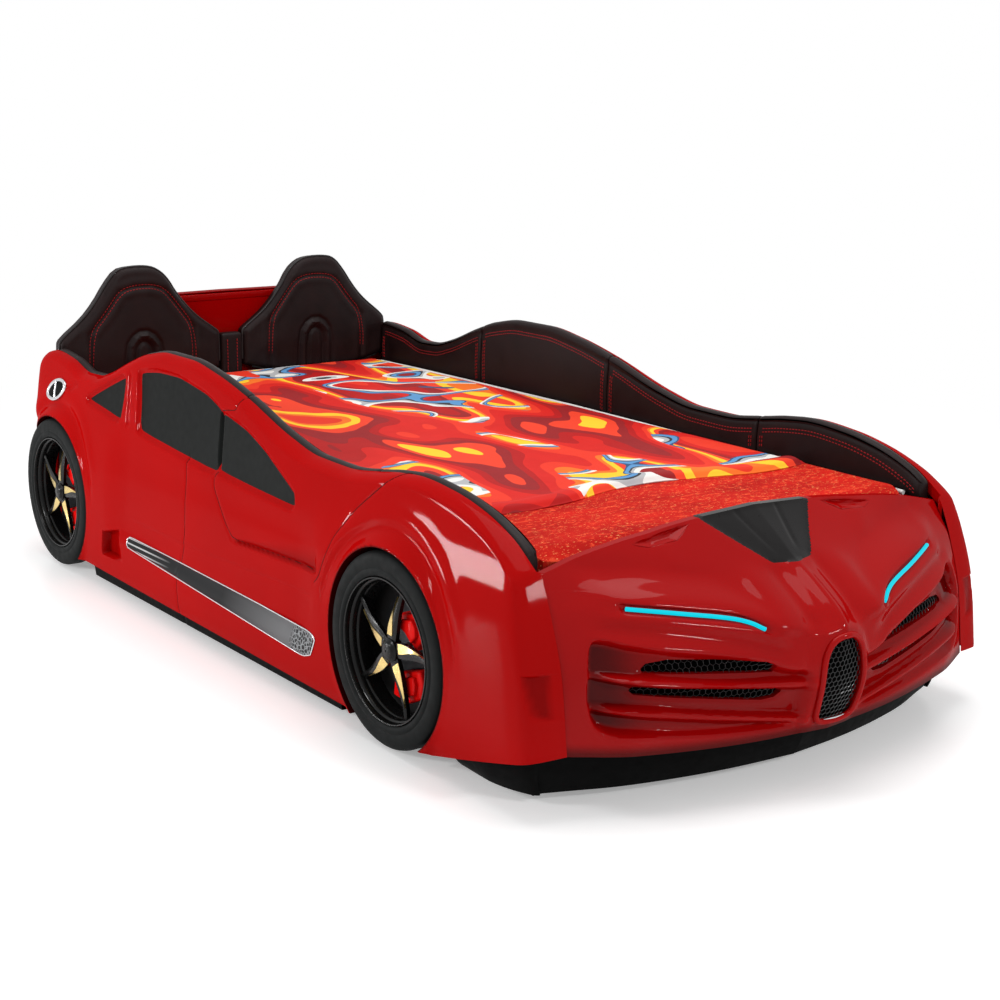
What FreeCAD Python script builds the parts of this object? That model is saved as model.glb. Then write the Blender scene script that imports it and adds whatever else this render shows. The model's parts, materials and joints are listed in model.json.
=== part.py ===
import FreeCAD, Part
import math
import os

# Children's car bed, about 2240 x 1110 x 705 mm.  Millimetres, +Z up, floor at z = 0.
# X is the width, the nose points to -Y and the headboard stands at +Y.
# The bed's left side is +X and its right side is -X.

V = FreeCAD.Vector

# ---------------------------------------------------------------- driving sizes
# mattress and the bay that holds it
MATTRESS_WIDTH = 900.0
MATTRESS_LENGTH = 1900.0
MATTRESS_THICKNESS = 150.0
MATTRESS_CORNER = 45.0
MATTRESS_CROWN = 6.0
PIPING_INSET = 9.0
BAY_SIDE_GAP = 12.0
BAY_END_GAP = 4.0
BAY_FRONT_Y = -876.0
SPREAD_THICKNESS = 7.0
HEM_HEIGHT = 13.0
HEM_WIDTH = 60.0
HEM_WAVE = 26.0
HEM_SETBACK = 250.0

# chipboard box and slatted base
BOARD = 16.0
GLIDE_HEIGHT = 12.0
GLIDE_RADIUS = 11.0
GLIDES_PER_SIDE = 4
SLAT_TOP = 262.0
SLAT_THICKNESS = 8.0
SLAT_WIDTH = 53.0
SLAT_COUNT = 14
LEDGER = 30.0
BEAM_WIDTH = 40.0
BEAM_HEIGHT = 60.0
LEG_COUNT = 2
SIDE_BOARD_TOP = 384.0
HOOD_LAP = 10.0
HEAD_BOARD_TOP = 600.0
BRACKET_LEG = 40.0
BRACKET_THICKNESS = 2.5
BRACKET_WIDTH = 30.0
BRACKET_LEVELS = (110.0, 330.0)
SCREW_RADIUS = 3.5
SCREW_HEAD_RADIUS = 6.0
SCREW_HEAD = 2.5
SCREW_LENGTH = 15.0

# plastic body
WALL = 4.0
FIT = 0.3
SHUT_LINE = 1.0
BODY_STAND_OUT = 75.0
RAIL_STAND_OUT = 6.3

# wheels
WHEEL_RADIUS = 179.0
WHEEL_CENTRE_Z = 182.0
FRONT_AXLE_Y = -552.0
REAR_OVERHANG = 161.0
WHEEL_STAND_OUT = 76.0
TYRE_WIDTH = 56.0
TYRE_SHOULDER = 14.0
RIM_RADIUS = 134.0
RIM_WALL = 7.0
SPOKE_COUNT = 5
SPOKE_THICKNESS = 9.0
SPOKE_DEPTH_IN = 16.0
HUB_RADIUS = 22.0
AXLE_RADIUS = 8.0
AXLE_RUNNING_FIT = 0.05
AXLE_HEAD = 3.0
MOUNT_PLATE = 5.0
CAP_RADIUS = 17.0
ARCH_GAP = 7.0
FLARE_RISE = 30.0
FLARE_SPREAD = 32.0
FLARE_LIP = 4.0
DISC_RADIUS = 96.0
DISC_THICKNESS = 4.0
MOUNT_PLATE_RADIUS = 60.0
CALIPER_INNER_R = 34.0
CALIPER_OUTER_R = 100.0
CALIPER_SWEEP = 50.0
CALIPER_ANGLES = (64.0, -62.0)
CALIPER_WIDTH = 39.0

# upholstery
PAD_THICKNESS = 24.0
PAD_CROWN = 7.0
PAD_RAISE = 3.0
PAD_GAP = 2.0
HEAD_PAD_THICKNESS = 34.0
HEAD_PAD_TOP = 703.0
CENTRE_PAD_TOP = 517.0
CHANNEL_DEPTH = 5.0

# lighting
LED_HEIGHT = 8.0
LED_TRAY = 6.0
DRIVER_SIZE = (120.0, 32.0, 45.0)
SPOILER_DEPTH = 34.0
SWITCH_BODY = (32.0, 16.0, 14.0)
SWITCH_Z = 170.0
SWITCH_X = 120.0
ROCKER_SIZE = (18.0, 9.0, 6.0)
ROCKER_FIT = 0.3
INLET_RADIUS = 7.0
INLET_DEPTH = 16.0

# ---------------------------------------------------------------- derived places
BAY_HALF = MATTRESS_WIDTH / 2 + BAY_SIDE_GAP
BOARD_OUT = BAY_HALF + BOARD
BAY_LENGTH = MATTRESS_LENGTH + 2 * BAY_END_GAP
PAD_FACE_Y = BAY_FRONT_Y + BAY_LENGTH
HEAD_BOARD_Y = PAD_FACE_Y + HEAD_PAD_THICKNESS
HEAD_BACK_Y = HEAD_BOARD_Y + BOARD
FOOT_OUT_Y = BAY_FRONT_Y - BOARD
REAR_AXLE_Y = HEAD_BACK_Y - REAR_OVERHANG
ARCH_RADIUS = WHEEL_RADIUS + ARCH_GAP
SLAT_BOTTOM = SLAT_TOP - SLAT_THICKNESS
BODY_MOUTH_X = BOARD_OUT + FIT
BODY_HALF_WIDTH = BOARD_OUT + BODY_STAND_OUT
RAIL_INNER_X = BOARD_OUT + RAIL_STAND_OUT
WHEEL_FACE_X = BOARD_OUT + WHEEL_STAND_OUT
SPOILER_BACK_Y = HEAD_BACK_Y + SPOILER_DEPTH
CUT_IN_X = BOARD_OUT - 28.0
CUT_OUT_X = BODY_HALF_WIDTH + 47.0
PLATE_OUT = BOARD_OUT + MOUNT_PLATE
AXLE_FLANGE_OUT = PLATE_OUT + DISC_THICKNESS + 1.0
AXLE_HEAD_IN = WHEEL_FACE_X - SPOKE_DEPTH_IN - AXLE_HEAD
MATTRESS_TOP = SLAT_TOP + MATTRESS_THICKNESS
PAD_SEAT_Z = SIDE_BOARD_TOP + FIT

# the outlines below are drawn for a box of this half width and this rear end
DRAWN_HALF = 478.0
DRAWN_REAR = 1082.0
STRETCH_FROM = -300.0


def across(x):
    """Place across the bed of a drawn distance from its middle."""
    return x * BOARD_OUT / DRAWN_HALF


def along(y):
    """Place along the bed of a drawn distance: the doors and tail stretch with the box."""
    share = (y - STRETCH_FROM) / (DRAWN_REAR - STRETCH_FROM)
    return y + (HEAD_BACK_Y - DRAWN_REAR) * min(max(share, 0.0), 1.0)


def stretched(outline):
    return [(along(y), z) for y, z in outline]


def widened(outline):
    return [(across(x), z) for x, z in outline]


def from_foot(distance):
    """Place in front of the foot board's outer face."""
    return FOOT_OUT_Y - distance


# wavy top line of the side rails, from the tail to the nose, as (y, z)
RAIL_CREST = stretched([(1082, 500), (1017, 512), (928, 504), (829, 482), (769, 484), (699, 501), (586, 543),
                        (510, 567), (400, 583), (300, 583), (190, 569), (64, 541), (-119, 487), (-228, 467),
                        (-333, 465), (-431, 476), (-507, 488), (-581, 494), (-671, 487), (-749, 472),
                        (-835, 441), (from_foot(11), 396)])
# side view of the tail, from the rail's end down to the sill
TAIL_LINE = stretched([(1082, 500), (1110, 462), (1120, 380), (1119, 250), (1106, 120), (1077, 37)])
# front edge of the fender from the hood corner down to the bumper's lower edge
FENDER_FRONT = [(from_foot(11), 396), (from_foot(41), 326), (from_foot(70), 234), (from_foot(87), 109)]
SILL_REAR = (REAR_AXLE_Y - 106, 43)
SILL_FRONT = (FRONT_AXLE_Y - 138, 30)
# how far the body's side falls back from its widest place at each height, as (z, distance)
SIDE_FALL = [(20, 17), (60, 5), (120, 0), (200, 0), (280, 4), (350, 15), (420, 31), (500, 44), (600, 55)]
SIDE_SECTION = [(z, BODY_HALF_WIDTH - fall) for z, fall in SIDE_FALL]
# body corners seen from above, as (x, y)
NOSE_CORNER = [(BODY_HALF_WIDTH - fall, from_foot(d)) for fall, d in
               [(-7, -252), (-3, -152), (1, -50), (5, 14), (9, 42), (18, 59), (33, 70), (56, 77), (83, 84)]]
TAIL_CORNER = [(BODY_HALF_WIDTH - fall, along(y)) for fall, y in [(-7, 940), (8, 1040), (41, 1098), (83, 1121)]]
# line between the door shell and the front fender shell, as (y, z)
FENDER_SEAM = [(FRONT_AXLE_Y + d, z) for d, z in
               [(82, 520), (82, 478), (132, 411), (188, 347), (226, 265), (234, 180), (172, 0)]]
# window panes, as (y, z) outlines
QUARTER_PANE = stretched([(780, 430), (587, 507), (595, 410)])
REAR_PANE = stretched([(519, 526), (487, 399), (128, 376), (113, 500), (200, 526), (330, 540), (430, 538)])
FRONT_PANE = stretched([(106, 499), (121, 375), (-170, 365), (-150, 392), (-60, 447), (20, 480)])
PANE_DEPTH = 9.0
PANE_THICKNESS = 3.0
SILL_STRIP = stretched([(517, 158), (-312, 147), (-281, 95), (510, 136)])
STRIP_THICKNESS = 1.8
FUEL_CAP_PLACE = (REAR_AXLE_Y + 30, 428)
FUEL_CAP_RADII = (55.0, 28.0)

# the nose: side profiles at four distances from the middle, each as (distance in front of the
# foot board, z) of bumper edge, bumper face, light line, hood and hood rear edge
NOSE_STATIONS = [(0, [(194, 92), (220, 200), (222, 268), (100, 372), (0, 444)]),
                 (across(137), [(182, 94), (206, 200), (186, 285), (83, 366), (0, 437)]),
                 (across(367), [(133, 101), (153, 206), (83, 336), (33, 375), (0, 412)]),
                 (BOARD_OUT, [(87, 109), (70, 234), (41, 326), (13, 368), (0, 388)])]
GRILLE_FRAME_PROUD = 6.0
GRILLE_THICKNESS = 4.0
# one side's two intakes, as (x, lower z) at the inner and outer ends
INTAKES = [widened([(118, 207), (362, 236)]), widened([(128, 164), (360, 192)])]
INTAKE_HEIGHT = 25.0
LED_LINE = widened([(137, 284), (364, 333)])
# centre grille outline, as (x, z), right half from the bottom
GRILLE_HALF = [(0, 108), (46, 112), (50, 180), (44, 235), (22, 262), (0, 264)]
GRILLE_FRAME_WIDTH = 11.0
HOOD_INSERT = [(x, from_foot(d)) for x, d in [(44, 100), (130, 13), (-130, 13), (-44, 100)]]
HOOD_VENT = [(across(x), from_foot(d)) for x, d in [(158, 12), (275, 12), (225, 30)]]
INSERT_PROUD = 1.5
SKIRT_HALF = [(across(x), from_foot(d)) for x, d in [(440, 0), (430, 33), (340, 93), (180, 138), (0, 154)]]
SKIRT_TOP = 130.0

# headboard pad, right half of one bucket as (x, z), from the inner foot to the outer foot
BUCKET = widened([(34, 400), (34, 518), (62, 545), (104, 575), (146, 624), (176, 672), (205, 696),
                  (240, HEAD_PAD_TOP), (281, 702), (318, 690), (345, 655), (375, 615), (410, 578),
                  (458, 532), (458, 400)])
EMBLEM = widened([(216, 430), (216, 500), (238, 524), (264, 524), (286, 500), (286, 430)])
SPOILER = widened([(0, 622), (262, 620), (292, 600), (330, 545), (478, 470), (478, 300), (0, 300)])
HEAD_BOARD_SHOULDER = widened([(478, 480), (430, 500), (350, 590), (330, HEAD_BOARD_TOP)])
TAIL_PANEL_BOTTOM = 60.0
PAD_BREAKS = [PAD_FACE_Y - 4, along(560), along(60), -430.0, BAY_FRONT_Y + 4]

os.makedirs("parts", exist_ok=True)


# ---------------------------------------------------------------- shape helpers
def box(x0, y0, z0, x1, y1, z1):
    return Part.makeBox(abs(x1 - x0), abs(y1 - y0), abs(z1 - z0),
                        V(min(x0, x1), min(y0, y1), min(z0, z1)))


def cylinder(radius, start, end):
    axis = end - start
    return Part.makeCylinder(radius, axis.Length, start, axis)


def mirrored(shape):
    return shape.mirror(V(0, 0, 0), V(1, 0, 0))


def polygon_prism(points, direction):
    """Straight-sided prism on a closed outline of 3-D points."""
    wire = Part.makePolygon(points + [points[0]])
    return Part.Face(wire).extrude(direction)


def spline_edge(points):
    curve = Part.BSplineCurve()
    curve.interpolate(points)
    return curve.toShape()


def line_edge(start, end):
    return Part.LineSegment(start, end).toShape()


def yz_prism(outline, x0, x1):
    return polygon_prism([V(x0, y, z) for y, z in outline], V(x1 - x0, 0, 0))


def xz_prism(outline, y0, y1):
    return polygon_prism([V(x, y0, z) for x, z in outline], V(0, y1 - y0, 0))


def inset(points, distance):
    """Move an open line of 2-D points to its right-hand side by a distance."""
    moved = []
    for i, (a, b) in enumerate(points):
        before = points[max(i - 1, 0)]
        after = points[min(i + 1, len(points) - 1)]
        da, db = after[0] - before[0], after[1] - before[1]
        length = math.hypot(da, db)
        moved.append((a + distance * db / length, b - distance * da / length))
    return moved


def grow(outline, distance):
    """Scale a closed outline about its middle so that its sides move out by a distance."""
    ca = sum(a for a, b in outline) / len(outline)
    cb = sum(b for a, b in outline) / len(outline)
    half_a = max(abs(a - ca) for a, b in outline)
    half_b = max(abs(b - cb) for a, b in outline)
    ka, kb = 1 + distance / half_a, 1 + distance / half_b
    return [(ca + (a - ca) * ka, cb + (b - cb) * kb) for a, b in outline]


def crest_height(y):
    """Height of the rail's top line at one place along the bed."""
    line = sorted(RAIL_CREST)
    for (y0, z0), (y1, z1) in zip(line, line[1:]):
        if y0 <= y <= y1:
            share = (y - y0) / (y1 - y0)
            return z0 + (z1 - z0) * share
    return line[0][1] if y < line[0][0] else line[-1][1]


def group(solids):
    return solids[0] if len(solids) == 1 else Part.makeCompound(solids)


def export(shape, node):
    shape.exportStep("parts/" + node + ".step")


# ---------------------------------------------------------------- chipboard box
def side_board():
    return box(BAY_HALF, BAY_FRONT_Y, GLIDE_HEIGHT, BOARD_OUT, HEAD_BOARD_Y, SIDE_BOARD_TOP)


def foot_board():
    """End board at the foot, whose top follows the hood's rear edge from just below it."""
    half = [(x, profile[-1][1] - HOOD_LAP) for x, profile in NOSE_STATIONS]
    outline = half[::-1] + [(-x, z) for x, z in half[1:]] + [(-BOARD_OUT, GLIDE_HEIGHT), (BOARD_OUT, GLIDE_HEIGHT)]
    return xz_prism(outline, BAY_FRONT_Y, FOOT_OUT_Y)


def head_board():
    """End board at the head, with its top corners cut back behind the pads."""
    half = HEAD_BOARD_SHOULDER
    outline = half + [(-x, z) for x, z in half[::-1]] + [(-BOARD_OUT, GLIDE_HEIGHT), (BOARD_OUT, GLIDE_HEIGHT)]
    return xz_prism(outline, HEAD_BOARD_Y, HEAD_BACK_Y)


def ledger():
    return box(BAY_HALF - LEDGER, BAY_FRONT_Y + FIT, SLAT_BOTTOM - LEDGER, BAY_HALF, HEAD_BOARD_Y - FIT, SLAT_BOTTOM)


def slats():
    first = BAY_FRONT_Y + SLAT_WIDTH
    pitch = (BAY_LENGTH - 2 * SLAT_WIDTH) / (SLAT_COUNT - 1)
    reach = BAY_HALF - FIT
    return group([box(-reach, first + i * pitch - SLAT_WIDTH / 2, SLAT_BOTTOM,
                      reach, first + i * pitch + SLAT_WIDTH / 2, SLAT_TOP) for i in range(SLAT_COUNT)])


def centre_beam():
    return box(-BEAM_WIDTH / 2, BAY_FRONT_Y + FIT, SLAT_BOTTOM - BEAM_HEIGHT,
               BEAM_WIDTH / 2, HEAD_BOARD_Y - FIT, SLAT_BOTTOM)


def leg_places():
    step = BAY_LENGTH / (LEG_COUNT + 1)
    return [BAY_FRONT_Y + step * (i + 1) for i in range(LEG_COUNT)]


def centre_legs():
    half = BEAM_WIDTH / 2
    return group([box(-half, y - half, GLIDE_HEIGHT, half, y + half, SLAT_BOTTOM - BEAM_HEIGHT)
                  for y in leg_places()])


def glides():
    step = (HEAD_BOARD_Y - BAY_FRONT_Y) / GLIDES_PER_SIDE
    feet = []
    for side in (-1, 1):
        for i in range(GLIDES_PER_SIDE):
            spot = V(side * (BAY_HALF + BOARD / 2), BAY_FRONT_Y + step * (i + 0.5), 0)
            feet.append(cylinder(GLIDE_RADIUS, spot, spot + V(0, 0, GLIDE_HEIGHT)))
    for y in leg_places():
        feet.append(cylinder(GLIDE_RADIUS, V(0, y, 0), V(0, y, GLIDE_HEIGHT)))
    return group(feet)


def bracket(y_face, y_dir, level, side):
    """Steel angle in an inner corner between a side board and an end board."""
    x_face = side * BAY_HALF
    x_leg = x_face - side * BRACKET_LEG
    low, high = level - BRACKET_WIDTH / 2, level + BRACKET_WIDTH / 2
    along_side = box(x_face, y_face, low, x_face - side * BRACKET_THICKNESS, y_face + y_dir * BRACKET_LEG, high)
    along_end = box(x_face, y_face, low, x_leg, y_face + y_dir * BRACKET_THICKNESS, high)
    return along_side.fuse(along_end).removeSplitter()


def screw(seat, direction):
    """Screw with its head on the seat and its shank going along the direction."""
    head = cylinder(SCREW_HEAD_RADIUS, seat - direction * SCREW_HEAD, seat)
    shank = cylinder(SCREW_RADIUS, seat, seat + direction * SCREW_LENGTH)
    return head.fuse(shank)


def bracket_corners():
    for y_face, y_dir in ((BAY_FRONT_Y, 1), (HEAD_BOARD_Y, -1)):
        for side in (-1, 1):
            for level in BRACKET_LEVELS:
                yield y_face, y_dir, level, side


def bracket_screws():
    screws = []
    reach = BRACKET_LEG * 0.65
    for y_face, y_dir, level, side in bracket_corners():
        on_side = V(side * (BAY_HALF - BRACKET_THICKNESS), y_face + y_dir * reach, level)
        on_end = V(side * (BAY_HALF - reach), y_face + y_dir * BRACKET_THICKNESS, level)
        screws.append(screw(on_side, V(side, 0, 0)))
        screws.append(screw(on_end, V(0, -y_dir, 0)))
    return screws


def build_frame():
    screws = bracket_screws()
    holes = Part.makeCompound(screws)
    brackets = [bracket(*corner) for corner in bracket_corners()]
    right_board = mirrored(side_board())
    export(side_board().cut(holes), "side_board_left")
    export(right_board.cut(holes), "side_board_right")
    export(foot_board().cut(holes), "foot_board")
    export(head_board().cut(holes), "head_board")
    export(group([ledger(), mirrored(ledger())]), "slat_ledgers")
    export(slats(), "slats")
    export(centre_beam(), "centre_beam")
    export(centre_legs(), "centre_legs")
    export(glides(), "glides")
    export(group([b.cut(holes) for b in brackets]), "corner_brackets")
    export(group(screws), "bracket_screws")


# ---------------------------------------------------------------- plastic side shells
def side_outline(offset):
    """Face of the side view, moved inwards by an offset, without the wheel arches."""
    crest = inset(RAIL_CREST, -offset)
    tail = inset(TAIL_LINE, offset)
    front = inset(FENDER_FRONT, -offset)
    top_corner = (crest[0][0] - offset, crest[0][1])
    crest[0] = top_corner
    tail[0] = top_corner
    front[0] = crest[-1]
    points_3d = [[V(0, y, z) for y, z in line] for line in (crest, front, tail)]
    sill = [V(0, FENDER_FRONT[-1][0] + offset, FENDER_FRONT[-1][1] + offset),
            V(0, SILL_FRONT[0] + offset, SILL_FRONT[1] + offset),
            V(0, SILL_REAR[0], SILL_REAR[1] + offset), V(0, tail[-1][0] - offset, tail[-1][1] + offset)]
    points_3d[1][-1] = sill[0]
    points_3d[2][-1] = sill[-1]
    edges = [spline_edge(line) for line in points_3d]
    edges += [line_edge(a, b) for a, b in zip(sill, sill[1:])]
    wire = Part.Wire(Part.__sortEdges__(edges))
    return Part.Face(wire)


def side_section(offset, inner_low, inner_high=None, step_z=None):
    """Solid along the whole bed whose outer side has the body's section."""
    start, length = FRONT_AXLE_Y - 4 * WHEEL_RADIUS, BAY_LENGTH + 4 * WHEEL_RADIUS
    outer = [V(x - offset, start, z) for z, x in SIDE_SECTION]
    low, high = SIDE_SECTION[0][0], SIDE_SECTION[-1][0]
    if inner_high is None:
        inner = [V(inner_low, start, high), V(inner_low, start, low)]
    else:
        inner = [V(inner_high, start, high), V(inner_high, start, step_z),
                 V(inner_low, start, step_z), V(inner_low, start, low)]
    edges = [spline_edge(outer), line_edge(outer[-1], inner[0])]
    edges += [line_edge(a, b) for a, b in zip(inner, inner[1:])]
    edges.append(line_edge(inner[-1], outer[0]))
    return Part.Face(Part.Wire(edges)).extrude(V(0, length, 0))


def plan_prism(offset):
    """Solid over the whole height that rounds the nose and tail corners."""
    nose = [V(x, y, 0) for x, y in inset(NOSE_CORNER, offset)]
    tail = [V(x, y, 0) for x, y in inset(TAIL_CORNER, -offset)]
    inner_nose = V(CUT_IN_X, nose[-1].y, 0)
    inner_tail = V(CUT_IN_X, tail[-1].y, 0)
    edges = [spline_edge(nose), line_edge(nose[-1], inner_nose), line_edge(inner_nose, inner_tail),
             line_edge(inner_tail, tail[-1]), spline_edge(tail[::-1]), line_edge(tail[0], nose[0])]
    return Part.Face(Part.Wire(edges)).extrude(V(0, 0, 700))


def arch_cylinder(hub_y, radius):
    return cylinder(radius, V(CUT_IN_X, hub_y, WHEEL_CENTRE_Z), V(CUT_OUT_X, hub_y, WHEEL_CENTRE_Z))


def arch_flare(hub_y):
    """Cone round a wheel arch, whose lip is level with the body's widest line."""
    base = V(BODY_HALF_WIDTH - FLARE_RISE, hub_y, WHEEL_CENTRE_Z)
    return Part.makeCone(ARCH_RADIUS + FLARE_SPREAD, ARCH_RADIUS + FLARE_LIP, FLARE_RISE, base, V(1, 0, 0))


def surface_band(low, high):
    """Layer that follows the body's side between two depths under its surface."""
    return side_section(low, CUT_IN_X).cut(side_section(high, CUT_IN_X - WALL))


def body_side():
    """Hollow left side of the body, from tail to nose, with both wheel arches."""
    step = SIDE_BOARD_TOP - WALL
    outer = side_outline(0).extrude(V(CUT_OUT_X, 0, 0))
    flared = side_section(0, BODY_MOUTH_X, RAIL_INNER_X, step)
    for hub_y in (FRONT_AXLE_Y, REAR_AXLE_Y):
        flared = flared.fuse(arch_flare(hub_y))
    outer = outer.common(flared).common(plan_prism(0))
    inner = side_outline(WALL).extrude(V(CUT_OUT_X, 0, 0))
    inner = inner.common(side_section(WALL, BODY_MOUTH_X - WALL, RAIL_INNER_X + WALL, step - WALL))
    inner = inner.common(plan_prism(WALL))
    for hub_y in (FRONT_AXLE_Y, REAR_AXLE_Y):
        inner = inner.cut(arch_cylinder(hub_y, ARCH_RADIUS + WALL))
        outer = outer.cut(arch_cylinder(hub_y, ARCH_RADIUS))
    pockets = surface_band(-20, PANE_DEPTH)
    bosses = surface_band(-20, PANE_DEPTH + WALL)
    for pane in (QUARTER_PANE, REAR_PANE, FRONT_PANE):
        outer = outer.cut(yz_prism(pane, CUT_IN_X, CUT_OUT_X).common(pockets))
        inner = inner.cut(yz_prism(grow(pane, WALL), CUT_IN_X, CUT_OUT_X).common(bosses))
    return outer.cut(inner)


def fender_region(shift):
    """Everything in front of the seam between door and fender."""
    seam = [(y + shift, z) for y, z in FENDER_SEAM]
    front = FRONT_AXLE_Y - 4 * WHEEL_RADIUS
    outline = seam + [(front, seam[-1][1]), (front, seam[0][1])]
    return yz_prism(outline, CUT_IN_X, CUT_OUT_X)


def biggest(shape):
    """The shape without loose slivers, as one solid."""
    return max(shape.Solids, key=lambda s: s.Volume)


def build_sides():
    body = body_side()
    door = biggest(body.cut(fender_region(SHUT_LINE / 2)))
    fender = biggest(body.common(fender_region(-SHUT_LINE / 2)))
    panes = [yz_prism(grow(pane, -FIT), CUT_IN_X, CUT_OUT_X).common(surface_band(PANE_DEPTH - PANE_THICKNESS, PANE_DEPTH))
             for pane in (QUARTER_PANE, REAR_PANE, FRONT_PANE)]
    strip = yz_prism(SILL_STRIP, CUT_IN_X, CUT_OUT_X).common(surface_band(-STRIP_THICKNESS, -FIT))
    cap = Part.makeCylinder(1, CUT_OUT_X - CUT_IN_X, V(0, 0, 0), V(1, 0, 0))
    oval = FreeCAD.Matrix()
    oval.scale(V(1, FUEL_CAP_RADII[0], FUEL_CAP_RADII[1]))
    cap = cap.transformGeometry(oval)
    cap.translate(V(CUT_IN_X, FUEL_CAP_PLACE[0], FUEL_CAP_PLACE[1]))
    cap = cap.common(surface_band(-STRIP_THICKNESS, -FIT))
    pieces = {"door_shell": door, "fender_shell": fender, "window_panes": group([biggest(p) for p in panes])}
    for name, shape in pieces.items():
        export(shape, name + "_left")
        export(mirrored(shape), name + "_right")
    for name, shape in (("sill_strips", biggest(strip)), ("fuel_caps", biggest(cap))):
        export(group([shape, mirrored(shape)]), name)


# ---------------------------------------------------------------- nose and tail
def nose_solid(inset_y, inset_z, half_width, back_y, drop):
    """Loft through the nose's side profiles from the right corner to the left."""
    stations = [(-x, p) for x, p in NOSE_STATIONS[:0:-1]] + NOSE_STATIONS
    wires = []
    for x, profile in stations:
        place = math.copysign(min(abs(x), half_width), x)
        edge, face, light, hood, rear = [(from_foot(d), z) for d, z in profile]
        points = [V(place, back_y, edge[1] - drop), V(place, edge[0] + inset_y, edge[1] - drop),
                  V(place, face[0] + inset_y, face[1]), V(place, light[0] + inset_y, light[1] - inset_z),
                  V(place, hood[0] + inset_y * 0.6, hood[1] - inset_z), V(place, back_y, rear[1] - inset_z)]
        wires.append(Part.makePolygon(points + [points[0]]))
    return Part.makeLoft(wires, True, True)


def nose_outer():
    return nose_solid(0, 0, BOARD_OUT - SHUT_LINE / 2, FOOT_OUT_Y - FIT, 0)


def nose_inner(extra=0.0):
    return nose_solid(WALL + extra, WALL * 1.2 + extra, BOARD_OUT - WALL, FOOT_OUT_Y + WALL, 2 * WALL)


def intake_prism(intake, margin):
    (xi, zi), (xo, zo) = intake
    outline = [(xi - margin, zi - margin), (xo + margin, zo - margin),
               (xo + margin, zo + INTAKE_HEIGHT + margin), (xi - margin, zi + INTAKE_HEIGHT + margin)]
    return xz_prism(outline, from_foot(400), FOOT_OUT_Y - 2 * BOARD)


def led_prism(margin):
    (xi, zi), (xo, zo) = LED_LINE
    half = LED_HEIGHT / 2 + margin
    outline = [(xi - margin, zi - half), (xo + margin, zo - half), (xo + margin, zo + half), (xi - margin, zi + half)]
    return xz_prism(outline, from_foot(400), FOOT_OUT_Y - 2 * BOARD)


def grille_outline(margin):
    half = [(x + (margin if x > 0 else 0), z) for x, z in GRILLE_HALF]
    half[0] = (0, half[0][1] - margin)
    half[1] = (half[1][0], half[1][1] - margin)
    half[-2] = (half[-2][0], half[-2][1] + margin)
    half[-1] = (0, half[-1][1] + margin)
    return half + [(-x, z) for x, z in half[-2:0:-1]]


def centre_prism(margin):
    return xz_prism(grille_outline(margin), from_foot(400), FOOT_OUT_Y - 2 * BOARD)


def backing(prism, inner, deeper):
    """Plate behind the nose shell, lying on its inner face."""
    return biggest(prism.common(inner).cut(deeper))


def build_nose():
    outer, inner = nose_outer(), nose_inner()
    deeper = nose_inner(GRILLE_THICKNESS)
    deepest = nose_inner(LED_TRAY)
    shell = outer.cut(inner)
    sides = (lambda s: s, mirrored)
    for side in sides:
        for intake in INTAKES:
            shell = shell.cut(side(intake_prism(intake, 0)))
        shell = shell.cut(side(led_prism(0)))
    shell = shell.cut(centre_prism(0))
    export(biggest(shell), "nose_shell")
    export(group([side(backing(intake_prism(intake, 2 * WALL), inner, deeper))
                  for side in sides for intake in INTAKES]), "side_grilles")
    export(backing(centre_prism(WALL), inner, deeper), "centre_grille")
    proud = nose_solid(-GRILLE_FRAME_PROUD, 0, BOARD_OUT, FOOT_OUT_Y, 0)
    frame = centre_prism(GRILLE_FRAME_WIDTH / 2).cut(centre_prism(-GRILLE_FRAME_WIDTH / 2))
    export(biggest(frame.common(proud).cut(nose_solid(-FIT, FIT, BOARD_OUT, FOOT_OUT_Y, 0))), "grille_frame")
    lens = biggest(led_prism(-FIT).common(outer).cut(inner))
    tray = backing(led_prism(WALL), inner, deepest)
    export(lens, "led_strip_left")
    export(mirrored(lens), "led_strip_right")
    export(group([tray, mirrored(tray)]), "led_trays")
    raised = nose_outer()
    raised.translate(V(0, 0, INSERT_PROUD))
    seat = nose_outer()
    seat.translate(V(0, 0, FIT / 3))
    insert = polygon_prism([V(x, y, 300) for x, y in HOOD_INSERT], V(0, 0, 200)).common(raised).cut(seat)
    vent = polygon_prism([V(x, y, 300) for x, y in HOOD_VENT], V(0, 0, 200)).common(raised).cut(seat)
    export(biggest(insert), "hood_insert")
    export(group([biggest(vent), mirrored(biggest(vent))]), "hood_vents")
    line = SKIRT_HALF + [(-x, y) for x, y in SKIRT_HALF[-2::-1]]
    within = [(x * 0.965, min(y + BOARD * 0.8, FOOT_OUT_Y)) for x, y in line]
    ring = [V(x, y, GLIDE_HEIGHT) for x, y in line] + [V(x, y, GLIDE_HEIGHT) for x, y in within[::-1]]
    export(polygon_prism(ring, V(0, 0, SKIRT_TOP - GLIDE_HEIGHT)), "nose_skirt")


def switch_hole(grow_by):
    w, h = SWITCH_BODY[0] / 2 + grow_by, SWITCH_BODY[1] / 2 + grow_by
    return box(SWITCH_X - w, HEAD_BACK_Y, SWITCH_Z - h, SWITCH_X + w, SPOILER_BACK_Y + 1, SWITCH_Z + h)


def inlet_centre(y):
    return V(-SWITCH_X, y, SWITCH_Z)


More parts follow.
